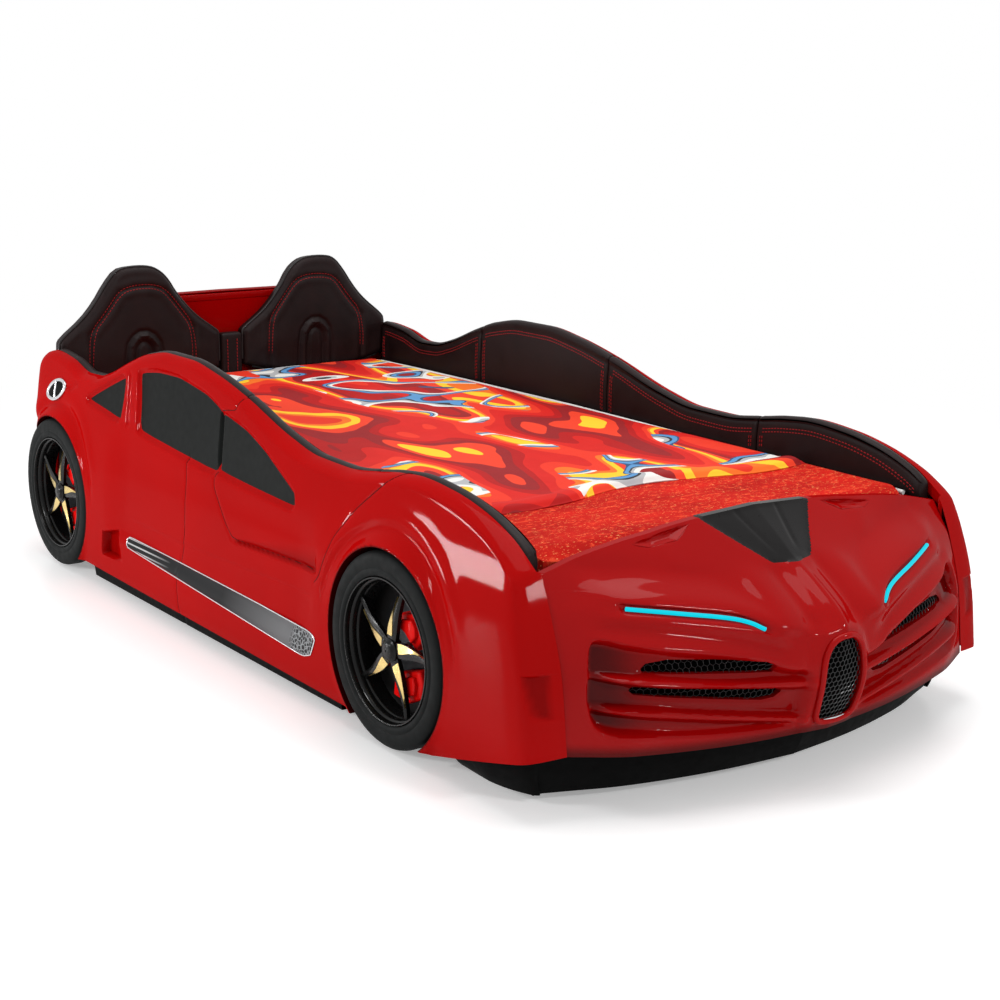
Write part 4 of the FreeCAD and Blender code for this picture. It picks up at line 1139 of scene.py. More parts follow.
    def build(self) -> None:
        """Builds the shells and panes of this side."""
        relief, turn = self.grid()
        for pane in self.outlines():
            relief.mark(edge_of(pane), 1)
        relief.mark(edge_of(self.fender), 2)
        for hub_y, hub_z in self.hubs:
            relief.cut(lambda a, b, y=hub_y, z=hub_z: np.hypot(a - y, b - z) - self.arch_radius)
        x = self.rolled(self.skin(relief.a, relief.b), turn)
        # Painted shade for the recesses and the arches, carried as a point attribute.
        relief.hollow = self.hollows(relief.a, relief.b)
        s = self.side.value
        shell = relief.raise_mesh(f"door_panel_{self.side.tag}", s * x, relief.a, relief.b, (s, 0, 0))
        glass = split_off(shell, zones_of(shell) == 1, f"window_glass_{self.side.tag}")
        wing = split_off(shell, zones_of(shell) == 2, f"fender_panel_{self.side.tag}")
        for piece in (shell, wing):
            for hub_y, hub_z in self.hubs:
                turn_in(piece, lambda c, y=hub_y, z=hub_z: np.hypot(c[:, 1] - y, c[:, 2] - z)
                        < self.arch_radius + 1.5, (-s * 44.0, 0, 0))
            turn_in(piece, lambda c: (np.abs(c[:, 2] - self.sill(c[:, 1])) < 3.0) & (np.abs(c[:, 0]) > 505.0),
                    (-s * 16.0, 0, 2.0))
            turn_in(piece, lambda c: (np.abs(c[:, 0]) < 486.0) & (c[:, 2] > 380.0) & (c[:, 1] < 1076.0),
                    (0, 0, -22.0))
        place(smooth(shell, 32), "bed", "red_shell", [Finish.SIDE_RED] * 3, [f"door_shell_{self.side.tag}"])
        place(smooth(wing, 32), "bed", "red_shell", [Finish.SIDE_RED] * 3, [f"fender_shell_{self.side.tag}"])
        place(smooth(glass, 32), "bed", "window_tint", [Finish.GLASS] * 2, [f"window_panes_{self.side.tag}"])
        self.sill_film()
        self.filler_cap()
        self.shut_lines()
        self.under_edge()

    def on_skin(self, y: np.ndarray, z: np.ndarray, proud: float) -> np.ndarray:
        """Points a little outside the surface, also where it rolls over the rail."""
        y, z = np.asarray(y, float), np.asarray(z, float)
        z = np.minimum(z, curve(CREST, y))
        rise = np.clip((z - curve(CREST, y) + self.roll) / self.roll, 0, 1)
        x = self.rolled(self.skin(y, z), 1 - np.sqrt(1 - rise * rise))
        return np.stack([self.side.value * (x + proud), y, z], -1)

    def shut_lines(self) -> None:
        """Thin dark joints between the door, the sill and the fender."""
        lines = []
        for seam in self.seams:
            rows = np.array(soften(seam, 2, closed=False, share=0.12))
            run = lengths_along(rows)
            at = np.arange(0, run[-1], 4.0)
            y, z = np.interp(at, run, rows[:, 0]), np.interp(at, run, rows[:, 1])
            lines.append(tube("line", self.on_skin(y, z, -0.7), 1.25))
        place(joined(f"shut_lines_{self.side.tag}", lines), "bed", "red_shell", [Finish.SEAM])

    def under_edge(self) -> None:
        """Black strip below the sill between the wheels, down near the floor: painted shade for the dark shadow
        under the sill.
        """
        y = np.linspace(-372.0, 742.0, 120)[:, None]
        share = np.linspace(0, 1, 4)[None, :]
        low = self.sill(y)
        x = self.skin(y, low + 2.0) - 9.0 - 4.0 * share
        z = low + 4.0 - (low - 9.0) * share
        s = self.side.value
        relief = Relief(y + 0 * share, z + 0 * y)
        strip = relief.raise_mesh(f"under_edge_{self.side.tag}", s * x, relief.a, relief.b, (s, 0, 0))
        turn_in(strip, lambda c: np.abs(c[:, 2] - 13.0) < 0.5, (-s * 20.0, 0, 0))
        place(strip, "bed", "black_plastic", [Finish.BLACK])

    def sill_film(self) -> None:
        """The long film on the sill and its silver edge."""
        rim = soften(((517, 159), (-300, 148), (-314, 140), (-300, 106), (-270, 96), (513, 136)), 2, share=0.04)
        n, m = 150, 12
        u, v = np.linspace(0, 1, n)[:, None], np.linspace(0, 1, m)[None, :]
        y = 512 - 818 * u + 0 * v
        top = np.interp(y, [-300, 517], [146, 157])
        low = np.interp(y, [-306, -296, -270, 511], [122, 104, 98, 139])
        z = low + (top - low) * v
        relief = Relief(y, z)
        s = self.side.value
        film = relief.raise_mesh(f"sill_film_{self.side.tag}", s * (self.skin(y, z) + 1.6), y, z, (s, 0, 0))
        place(smooth(film, 50), "bed", "trim_silver", [Finish.FILM], ["sill_strips"])
        path = np.array(rim)
        edge = tube(f"sill_film_edge_{self.side.tag}", self.on_skin(path[:, 0], path[:, 1], 1.0), 1.4, True)
        place(edge, "bed", "trim_silver", [Finish.SILVER])

    def filler_cap(self) -> None:
        """Oval filler cap on the rear quarter: bright ring, dark lid and a finger bar."""
        angle = np.linspace(0, 2 * math.pi, self.cap_ring + 1)[:-1]
        cap_y, cap_z = self.cap_at

        def oval(share: float) -> tuple[np.ndarray, np.ndarray]:
            """Points of the oval at a share of its radii."""
            dy = self.cap_radii[0] * share * np.cos(angle)
            return cap_y + dy, cap_z + self.cap_radii[1] * share * np.sin(angle) + self.cap_lean * dy
        ring = tube(f"filler_ring_{self.side.tag}", self.on_skin(*oval(0.9), 1.0), 5.0, True)
        place(ring, "bed", "trim_silver", [Finish.SILVER])
        rows = [self.on_skin(*oval(k), p) for k, p in ((0.86, 0.8), (0.78, 2.6), (0.5, 3.2), (0.2, 3.4))]
        points = np.concatenate(rows + [self.on_skin([cap_y], [cap_z], 3.4)])
        faces = ring_faces(len(rows), self.cap_ring) + fan_faces((len(rows) - 1) * self.cap_ring, self.cap_ring)
        order = 1 if self.side is Side.RIGHT else -1
        lid = mesh_from(f"filler_lid_{self.side.tag}", points, [f[::order] for f in faces])
        place(smooth(lid, 50), "bed", "trim_silver", [Finish.BLACK], ["fuel_caps"])
        t = np.linspace(-20.0, 20.0, 9)
        bar = tube(f"filler_bar_{self.side.tag}", self.on_skin(cap_y + 0.25 * t, cap_z + t, 4.0), 3.6)
        place(bar, "bed", "trim_silver", [Finish.SILVER])


# ---------------------------------------------------------------- nose
@dataclass
class Nose:
    """Hood and bumper in one moulding, with grilles, light strips and the hood insert."""
    foot_y: float = -892.0
    half: float = 478.0
    columns: int = 321
    stations: Sequence[tuple[float, Points]] = (
        (0, ((92, 194), (200, 220), (268, 222), (372, 100), (444, 0))),
        (137, ((94, 182), (200, 206), (285, 186), (366, 83), (437, 0))),
        (367, ((101, 133), (206, 153), (336, 83), (375, 33), (412, 0))),
        (478, ((109, 87), (234, 70), (326, 41), (368, 13), (388, 0))))
    low: Points = ((0, 92), (137, 94), (367, 101), (478, 109))
    foot: Points = ((0, 106), (76, 109), (226, 118), (344, 131), (424, 138), (478, 142))
    cheek: Points = ((0, 214), (100, 217), (198, 252), (288, 268), (368, 281), (420, 298), (478, 308))
    eye: Points = ((0, 262), (96, 268), (160, 287), (242, 304), (320, 317), (390, 326), (478, 338))
    lamp: Points = ((0, 276), (120, 281), (144, 290), (162, 300), (190, 309), (276, 324), (364, 337), (478, 352))
    brow: Points = ((0, 292), (76, 294), (112, 297), (148, 313), (192, 328), (252, 340), (302, 347), (350, 351),
                    (386, 358), (478, 368))
    hood: Points = ((0, 444), (140, 437), (230, 429), (367, 412), (478, 388))
    fins: Sequence[tuple[Points, Points]] = (
        (((66, 181), (244, 205), (364, 222), (430, 233)), ((70, 195), (240, 214), (360, 232), (430, 241))),
        (((46, 111), (234, 147), (362, 169), (430, 179)), ((46, 122), (234, 159), (364, 182), (430, 188))))
    recess: Points = ((434, 292), (446, 238), (446, 179), (428, 140), (344, 131), (226, 118), (76, 108), (60, 118),
                      (60, 200), (70, 214), (100, 217), (198, 252), (288, 268), (368, 281), (410, 294))
    slots: Sequence[Points] = (
        ((128, 214), (250, 227), (358, 238), (360, 244), (350, 252), (316, 256), (232, 248), (150, 238),
         (130, 228)),
        ((146, 167), (268, 188), (374, 204), (382, 212), (376, 218), (256, 206), (118, 186), (106, 178),
         (120, 168)))
    horseshoe: Points = ((0, 110), (44, 113), (49, 150), (50, 185), (47, 222), (40, 244), (28, 258), (14, 265),
                         (0, 267))
    insert: Points = ((0, 366), (44, 366), (52, 371), (131, 436), (129, 439), (0, 443))
    vent: Points = ((160, 431), (222, 425), (284, 415), (258, 409), (200, 413))
    skirt_foot: float = 18.0

    def depth(self, x: np.ndarray, z: np.ndarray) -> np.ndarray:
        """Plain surface: distance in front of the foot board.

        Args:
            x: Distances from the middle.
            z: Heights.

        Returns:
            Distances.
        """
        x = np.abs(np.asarray(x, float))
        z = np.asarray(z, float)
        level = [curve([(s, p[k][0]) for s, p in self.stations], x) for k in range(5)]
        reach = [curve([(s, p[k][1]) for s, p in self.stations], x) for k in range(5)]
        slope = [(reach[k + 1] - reach[k]) / (level[k + 1] - level[k]) for k in range(4)]
        bend = [slope[0]]
        for k in range(3):
            both = slope[k] * slope[k + 1]
            total = slope[k] + slope[k + 1]
            bend.append(np.where(both > 0, 2 * both / np.where(total == 0, 1, total), 0.0))
        bend.append(slope[3])
        out = reach[0] + 0 * z
        for k in range(4):
            h = level[k + 1] - level[k]
            t = np.clip((z - level[k]) / h, 0, 1)
            out = np.where(z >= level[k], hermite(t, h, reach[k:k + 2], bend[k:k + 2]), out)
        return out

    def shaped(self, x: np.ndarray, z: np.ndarray) -> np.ndarray:
        """Surface with its pressed shapes, as a place along the bed."""
        x = np.abs(np.asarray(x, float))
        z = np.asarray(z, float)
        d = self.depth(x, z)
        bowl = edge_of(soften(self.recess, 2))(x, z)
        pocket = 17.0 + 9.0 * ease(300, 400, x)
        d = d - pocket * ease(3.0, -12.0, bowl)
        for low, top in self.fins:
            share = (z - curve(low, x)) / (curve(top, x) - curve(low, x))
            ridge = ease(-0.55, 0.3, share) * ease(1.5, 0.7, share)
            d = d + pocket * ridge * ease(448, 405, x) * ease(48, 80, x)
        for slot in self.slots:
            d = d - 3.0 * ease(7.0, 0.0, edge_of(slot)(x, z))
        lamp = z - curve(self.lamp, x)
        span = ease(128, 146, x) * ease(378, 362, x)
        d = d - 9.0 * span * ease(8.0, 4.6, np.abs(lamp + 0.6))
        brow = z - curve(self.brow, x)
        d = d + 9.0 * bell(brow, 0.0, 15.0) * ease(84, 150, x) * ease(430, 375, x)
        d = d - 4.0 * bell(brow, 32.0, 16.0) * ease(100, 190, x) * ease(440, 390, x)
        d = d + 4.5 * bell(z, curve(self.eye, x), 9.0) * ease(80, 130, x) * ease(420, 380, x)
        d = d - 6.0 * bell(z, curve(self.eye, x) - 22.0, 12.0) * ease(80, 150, x) * ease(440, 390, x)
        beak = ease(268, 292, z) * ease(378, 345, z)
        d = d + beak * (9.0 * bell(x, 0.0, 13.0) - 11.0 * bell(x, 50.0, 19.0) + 9.0 * bell(x, 104.0, 26.0))
        hoop = edge_of(mirrored(self.horseshoe))(x, z)
        d = d + 7.0 * ease(30.0, 6.0, hoop) * ease(300, 270, z)
        d = d + 3.0 * ease(7.0, 1.0, hoop)
        panel = edge_of(mirrored(self.insert))(x, z)
        d = d - 2.5 * ease(0.8, -2.0, panel)
        crease = bell(x, 22.0 + (z - 373.0) * 0.42, 4.0) * ease(376, 392, z)
        d = d - 3.0 * crease * (panel < 0)
        d = d - 9.0 * ease(1.0, -4.0, edge_of(self.vent)(x, z))
        d = d + 2.5 * bell(x, 236.0 + (z - 400) * 0.5, 30.0) * ease(360, 385, z)
        d = d - 2.0 * ease(self.half - 9.0, self.half, x) ** 2
        return self.foot_y - d

    def hollows(self, x: np.ndarray, z: np.ndarray) -> np.ndarray:
        """Painted shade of each point: how much darker it is painted in a pocket or under the bumper, lighter again
        on the fin ridges.
        """
        bowl = edge_of(soften(self.recess, 2))(x, z)
        dark = ease(-3.0, -16.0, bowl) * (0.35 + 0.5 * ease(340, 415, x))
        for low, top in self.fins:
            share = (z - curve(low, x)) / (curve(top, x) - curve(low, x))
            ridge = ease(-0.2, 0.3, share) * ease(1.6, 0.9, share) * ease(448, 405, x) * ease(48, 80, x)
            dark = dark * (1 - 0.85 * ridge)
        under = z - curve(self.low, x)
        return np.maximum(dark, 0.8 * ease(24.0, 3.0, under))

    def grid(self) -> Relief:
        """Fine grid whose rows follow the main feature lines."""
        x = np.linspace(-self.half, self.half, self.columns)[:, None]
        features = (self.low, self.foot, self.cheek, self.eye, self.lamp, self.brow, self.hood)
        lines = [curve(line, np.abs(x)) for line in features]
        rows = []
        for low, high, count in zip(lines, lines[1:], (6, 58, 16, 8, 8, 42)):
            rows += [low + (high - low) * k / count for k in range(count)]
        rows.append(lines[-1])
        z = np.concatenate(rows, 1)
        return Relief(x + 0 * z, z)

    def both(self, path: Points) -> Field:
        """Signed distance to an outline on both halves."""
        signed = edge_of(path)
        return lambda a, b: signed(np.abs(a), b)

    def build(self) -> None:
        """Builds the moulding and everything set in it."""
        relief = self.grid()
        for slot in self.slots:
            relief.cut(self.both(slot))
        relief.cut(self.both(mirrored(self.horseshoe)))
        relief.mark(self.both(mirrored(self.insert)), 1)
        y = self.shaped(relief.a, relief.b)
        for _ in range(2):
            y[1:-1, 1:-1] = 0.5 * y[1:-1, 1:-1] + 0.125 * (y[2:, 1:-1] + y[:-2, 1:-1] + y[1:-1, 2:] + y[1:-1, :-2])
        # Painted shade for the pockets and the bumper's underside, carried as a point attribute.
        relief.hollow = self.hollows(np.abs(relief.a), relief.b)
        shell = relief.raise_mesh("nose_moulding", relief.a, y, relief.b, (0, -1, 0.4))
        insert = split_off(shell, zones_of(shell) == 1, "hood_panel")
        turn_in(shell, lambda c: (np.abs(c[:, 0]) < 400) & (c[:, 2] < 262) & (c[:, 2] > 108), (0, 14.0, 0))
        turn_in(shell, lambda c: c[:, 2] < curve(self.low, np.abs(c[:, 0])) + 2.0, (0, 22.0, 1.0))
        for piece in (shell, insert):
            turn_in(piece, lambda c: (np.abs(c[:, 1] - self.foot_y) < 6.0)
                    & (c[:, 2] > curve(self.hood, np.abs(c[:, 0])) - 1.6), (0, 15.0, 0))
            turn_in(piece, lambda c: c[:, 1] > self.foot_y + 9.0, (0, 0, -8.0))
        place(smooth(shell, 40), "bed", "red_shell", [Finish.NOSE_RED] * 2, ["nose_shell"])
        place(smooth(insert, 40), "bed", "window_tint", [Finish.INSERT] * 2, ["hood_insert"])
        self.grilles()
        self.lights()
        self.vents()
        self.skirt()

    def grilles(self) -> None:
        """Honeycomb inserts, their dark backs and the frame of the middle one."""
        nets, backs = [], []
        for s in (1, -1):
            for slot in self.slots:
                path = [(s * a, b) for a, b in slot]
                nets.append(honeycomb("net", path, 11.0, lambda a, b: self.shaped(a, b) + 7.0))
                backs.append(self.plate("back", resized(path, 1.05), 13.0))
        place(joined("side_grille_nets", nets), "bed", "black_plastic", [Finish.NET], ["side_grilles"])
        place(joined("side_grille_backs", backs), "bed", "black_plastic", [Finish.VOID])
        shape = mirrored(self.horseshoe)
        net = honeycomb("centre_grille_net", shape, 10.0, lambda a, b: self.shaped(a, b) + 8.0, 1.8)
        place(net, "bed", "black_plastic", [Finish.NET], ["centre_grille"])
        place(self.plate("centre_grille_back", shape, 14.0), "bed", "black_plastic", [Finish.VOID])
        path = np.array(soften(mirrored(self.horseshoe), 2))
        y = self.shaped(path[:, 0], path[:, 1])
        frame = tube("centre_grille_frame", np.stack([path[:, 0], y - 1.0, path[:, 1]], 1), 5.5, True)
        place(frame, "bed", "red_shell", [Finish.NOSE_RED], ["grille_frame"])
        x = np.linspace(-41, 41, 15)
        z = 115.0 + 0 * x
        lip = tube("centre_grille_lip", np.stack([x, self.shaped(x, z) - 1.0, z], 1), 2.0)
        place(lip, "bed", "trim_silver", [Finish.SILVER])

    def plate(self, name: str, path: Points, back: float) -> bpy.types.Object:
        """A thin plate behind an opening.

        Args:
            name: Name of the piece.
            path: Outline as x and z.
            back: How far behind the surface it lies.

        Returns:
            The mesh object.
        """
        rings = [resized(path, share) for share in (1.04, 0.6, 0.25)]
        flat = np.concatenate(rings + [np.array(path).mean(0)[None]])
        n = len(path)
        points = np.stack([flat[:, 0], self.shaped(flat[:, 0], flat[:, 1]) + back, flat[:, 1]], 1)
        return mesh_from(name, points, ring_faces(len(rings), n) + fan_faces((len(rings) - 1) * n, n))

    def lights(self) -> None:
        """The two lit strips, each a rounded bar in its slot."""
        for side in Side:
            x = np.linspace(143, 362, 50)
            z = curve(self.lamp, x) - 1.2
            path = np.stack([side.value * x, self.foot_y - self.depth(x, z) + 1.5, z], 1)
            bar = tube(f"light_bar_{side.tag}", path, 3.6)
            place(bar, "bed", "led_lens", [Finish.LIGHT], [f"led_strip_{side.tag}"])

    def vents(self) -> None:
        """Dark floor of the two hood slits."""
        floors = []
        for s in (1, -1):
            floors.append(self.plate("floor", [(s * a, b) for a, b in self.vent], -0.4))
        place(joined("hood_slit_floors", floors), "bed", "black_plastic", [Finish.NOSE_RED], ["hood_vents"])

    def skirt(self) -> None:
        """Black skirt under the bumper that goes on round the corners to the wheels. It closes the space under the
        bumper and is also painted shade: its black fills the dark shadow under the bumper and the fenders.
        """
        x = np.linspace(0, 472, 90)
        ahead = np.stack([x, self.foot_y - self.depth(x, curve(self.low, x) + 2.0), curve(self.low, x)], 1)
        shell = SideShell(Side.LEFT)
        y = np.linspace(-966, -738, 44)
        beside = np.stack([shell.skin(y, shell.sill(y) + 3.0), y, shell.sill(y)], 1)
        line = np.concatenate([ahead, beside])
        run = lengths_along(line)
        at = np.linspace(0, run[-1], 150)
        line = np.stack([np.interp(at, run, line[:, k]) for k in range(3)], 1)
        for _ in range(90):
            line[1:-1] = 0.5 * line[1:-1] + 0.25 * (line[2:] + line[:-2])
        along = np.gradient(line[:, :2], axis=0)
        along /= np.linalg.norm(along, axis=1)[:, None]
        inward = np.stack([-along[:, 1], along[:, 0]], 1)
        inset = 50.0 - 37.0 * ease(540, 720, at)
        share = np.linspace(0, 1, 9)
        inset = inset[:, None] + 26.0 * share[None, :] ** 2
        x, y = (line[:, k, None] + inward[:, k, None] * inset for k in (0, 1))
        top = line[:, 2, None] + 10.0
        z = top + (self.skirt_foot - top) * share[None, :]
        front = int(np.argmax(line[:, 0] > 444.0))
        halves = []
        for s in (1, -1):
            wrap = Relief(y[front:], z[front:])
            halves.append(wrap.raise_mesh("wrap", s * x[front:], wrap.a, wrap.b, (s, -0.3, 0)))
        full = [np.concatenate([sign * v[front::-1], v[1:front + 1]])
                for sign, v in ((-1, x), (1, y), (1, z))]
        relief = Relief(full[1], full[2])
        skirt = relief.raise_mesh("nose_underskirt", full[0], full[1], full[2], (0, -1, 0))
        turn_in(skirt, lambda c: np.abs(c[:, 2] - self.skirt_foot) < 1.0, (0, 50.0, 0))
        place(smooth(skirt, 45), "bed", "black_plastic", [Finish.BLACK], ["nose_skirt"])
        place(smooth(joined("corner_skirts", halves), 45), "bed", "black_plastic", [Finish.BLACK])


# ---------------------------------------------------------------- wheels
@dataclass
class Wheel:
    """One wheel: tyre, stepped rim with five curved spokes, gold edges and a plain hub cap."""
    name: str
    side: Side
    hub_y: float
    face_x: float = 554.0
    steps: int = 96
    tyre: Points = ((134, -8), (135, -3), (138, -0.6), (142, 0), (146, -0.3), (148.5, -1.6), (152, -0.8),
                    (159, -0.2), (168, -1.0), (174, -3.2), (177.4, -7), (179, -13), (179, -21), (177.5, -22),
                    (177.5, -25), (179, -26),
                    (179, -38), (176, -48), (170, -54), (160, -56), (146, -56), (134, -54))
    barrel: Points = ((134, -3), (132.6, -1.2), (130.4, -1.6), (129.2, -5), (128.5, -11), (126.2, -12.5),
                      (124.6, -15), (124, -24), (122, -26), (121.2, -29), (120.8, -40), (120.6, -54), (127, -55),
                      (134, -53))
    hub: Points = ((2, -7), (12, -7.6), (16, -9), (18, -12), (22, -14), (23, -18), (23, -30), (8.2, -30),
                   (8.2, -16), (2, -16))
    first_spoke: float = 67.0

    def lathe(self, name: str, profile: Points, closed: bool = True) -> bpy.types.Object:
        """Turns a profile round the axle.

        Args:
            name: Name of the piece.
            profile: Radius and distance out of the wheel's face.
            closed: Whether the profile closes on itself.

        Returns:
            The mesh object at the hub.
        """
        n = len(profile)
        points = np.array([(self.face_x + dx, 0.0, r) for r, dx in profile])
        data = bpy.data.meshes.new(name)
        runs = [(i, (i + 1) % n) for i in range(n if closed else n - 1)]
        data.from_pydata([tuple(p) for p in points * MM], runs, [])
        piece = linked(name, data)
        with editing(piece, choice="SELECT"):
            bpy.ops.mesh.spin(steps=self.steps, angle=2 * math.pi, center=(0, 0, 0), axis=(1, 0, 0))
        return smooth(outward(piece), 38)

    def spoke(self, turn: float, gold: bool) -> bpy.types.Object:
        """One curved spoke or its gold inlay.

        Args:
            turn: Angle of the spoke in degrees.
            gold: Whether the inlay is made instead of the spoke.

        Returns:
            The mesh object.
        """
        n = 22
        t = np.linspace(0.14 if gold else 0.0, 0.82 if gold else 1.0, n)
        r = 14 + 111 * t
        sweep = math.radians(turn) - 0.20 * t
        width = 13.0 * (1 - 0.60 * ease(0.1, 1.0, t)) + 1.5 * bell(t, 0.26, 0.2)
        crown = self.face_x - 15.0 - 4.0 * ease(0.2, 1.0, t)
        if gold:
            inner = 0.90 - 1.25 * ease(0.82, 0.14, t)
            edges = ((inner, 0.1), (0.95, -2.2), (0.95, -4.0), (inner, -4.0))
        else:
            edges = ((1.0, -2.6), (0.55, -1.0), (0.0, 0.0), (-0.55, -1.0), (-1.0, -2.6), (-1.0, -10.0),
                     (1.0, -10.0))
        rows = []
        for share, out in edges:
            angle = sweep + share * width / np.maximum(r, 16)
            proud = 0.7 if gold and out > -3 else 0.0
            rows.append(np.stack([crown + out + proud, r * np.sin(angle), r * np.cos(angle)], 1))
        k = len(rows)
        points = np.stack(rows, 1).reshape(-1, 3)
        return smooth(outward(mesh_from("spoke", points, ring_faces(n, k) + end_faces(n, k))), 30)

    def build(self) -> None:
        """Builds this wheel and moves it to its hub."""
        body = f"wheel_{self.name}"
        tyre = self.lathe(f"tyre_band_{self.name}", self.tyre)
        parts = [self.lathe("barrel", self.barrel)]
        turns = [72.0 * i + self.first_spoke for i in range(5)]
        parts += [self.spoke(turn, False) for turn in turns]
        parts.append(self.lathe("hub", self.hub))
        inlays = [self.spoke(turn, True) for turn in turns]
        black = joined("black", parts)
        edge = joined("gold", inlays)
        PALETTE.dress(black, Finish.RIM, Finish.GOLD)
        PALETTE.dress(edge, Finish.RIM, Finish.GOLD)
        edge.data.polygons.foreach_set("material_index", np.ones(len(edge.data.polygons), np.int32))
        rim = joined(f"spoked_rim_{self.name}", [black, edge])
        for piece in (tyre, rim):
            to_hub(piece, self.side, self.hub_y)
        place(tyre, body, "tyre", [Finish.RUBBER], [f"tyre_{self.name}"])
        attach(rim, body)
        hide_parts(f"rim_{self.name}")


def outward_by_flip(piece: bpy.types.Object) -> None:
    """Turns a mirrored mesh's faces back outwards, unless applying the scale has done so."""
    data = piece.data
    data.update()
    co = points_of(data)
    data.calc_loop_triangles()
    tris = np.zeros(len(data.loop_triangles) * 3, int)
    data.loop_triangles.foreach_get("vertices", tris)
    a, b, c = (co[tris.reshape(-1, 3)[:, k]] for k in range(3))
    if float((np.cross(a - co.mean(0), b - co.mean(0)) * (c - co.mean(0))).sum()) < 0:
        flip(piece)


def to_hub(piece: bpy.types.Object, side: Side, hub_y: float) -> bpy.types.Object:
    """Moves a piece made round the X axis to a hub, and mirrors it on the right side."""
    piece.scale = (side.value, 1, 1)
    piece.location = (0, hub_y * MM, HUB_Z * MM)
    settle(piece)
    if side is Side.RIGHT:
        outward_by_flip(piece)
    return piece


@dataclass
class Calipers:
    """Two ribbed brake blocks behind the spokes of every wheel."""
    hubs: Sequence[tuple[Side, float]]
    inner_x: float = 490.0
    blocks: Sequence[Points] = (((-14, 40), (-6, 64), (50, 76), (68, 58), (70, 30), (48, 6), (18, 30)),
                                ((-18, -50), (28, -36), (62, -26), (72, -50), (66, -78), (24, -98), (-24, -94)))

    def slab(self, outline: Points, share: float, start: float, depth: float) -> bpy.types.Object:
        """One thick plate of the outline's shape.

        Args:
            outline: Corners as distances ahead of the hub and above it.
            share: Size of the plate beside the outline.
            start: Distance of its back from the middle of the bed.
            depth: Its thickness.

        Returns:
            The mesh object at a hub in the middle of the bed.
        """
        rows = resized(outline, share)
        n = len(rows)
        points = [(start + d, -a, b) for d in (0.0, depth) for a, b in rows]
        faces = [tuple(range(n)), tuple(range(2 * n - 1, n - 1, -1))]
        faces += [(i, n + i, n + (i + 1) % n, (i + 1) % n) for i in range(n)]
        plate = outward(mesh_from("plate", np.array(points), faces))
        modify(plate, "BEVEL", width=min(0.0045, depth * 0.3 * MM), segments=3)
        return plate

    def build(self) -> None:
        """Builds the blocks at every hub."""
        parts = []
        for side, hub_y in self.hubs:
            for outline in self.blocks:
                plates = [self.slab(outline, 1.0, self.inner_x, 26.0),
                          self.slab(outline, 0.62, self.inner_x + 24.0, 9.0)]
                block = joined("block", plates)
                parts.append(to_hub(block, side, hub_y))
        blocks = smooth(joined("brake_blocks", parts), 40)
        place(blocks, "bed", "caliper_red", [Finish.CALIPER], ["brake_calipers"])


# ---------------------------------------------------------------- upholstery
def stitches(name: str, path: np.ndarray, out: np.ndarray, pitch: float = 8.5,
             length: float = 5.6) -> bpy.types.Object:
    """A row of stitches along a path.

    Args:
        name: Name of the piece.
        path: Points in millimetres.
        out: Direction that the stitches stand out in.
        pitch: Distance between stitches.
        length: Length of one stitch.

    Returns:
        The mesh object.
    """
    step = np.linalg.norm(np.diff(path, axis=0), axis=1)
    run = np.concatenate([[0], np.cumsum(step)])
    starts = np.arange(1.0, run[-1] - length, pitch)

    def at(s: float) -> np.ndarray:
        """Point at a distance along the path."""
        return np.array([np.interp(s, run, path[:, k]) for k in range(3)])
    points, faces = [], []
    for s in starts:
        p, q = at(s), at(s + length)
        along = (q - p) / max(np.linalg.norm(q - p), 1e-6)
        wide = np.cross(along, out)
        wide /= max(np.linalg.norm(wide), 1e-6)
        up = np.asarray(out, float)
        base = len(points)
        for c, w, h in ((p, 0.9, 0.0), (p + along * 0.8, 1.0, 1.1), (q - along * 0.8, 1.0, 1.1), (q, 0.9, 0.0)):
            points += [c - wide * w + up * (-0.4), c - wide * w * 0.6 + up * h, c + wide * w * 0.6 + up * h,
                       c + wide * w + up * (-0.4)]
        faces += ring_faces(4, 4, base)
        faces += [(base, base + 3, base + 2, base + 1), (base + 12, base + 13, base + 14, base + 15)]
    piece = mesh_from(name, np.array(points), faces)
    return outward(piece)


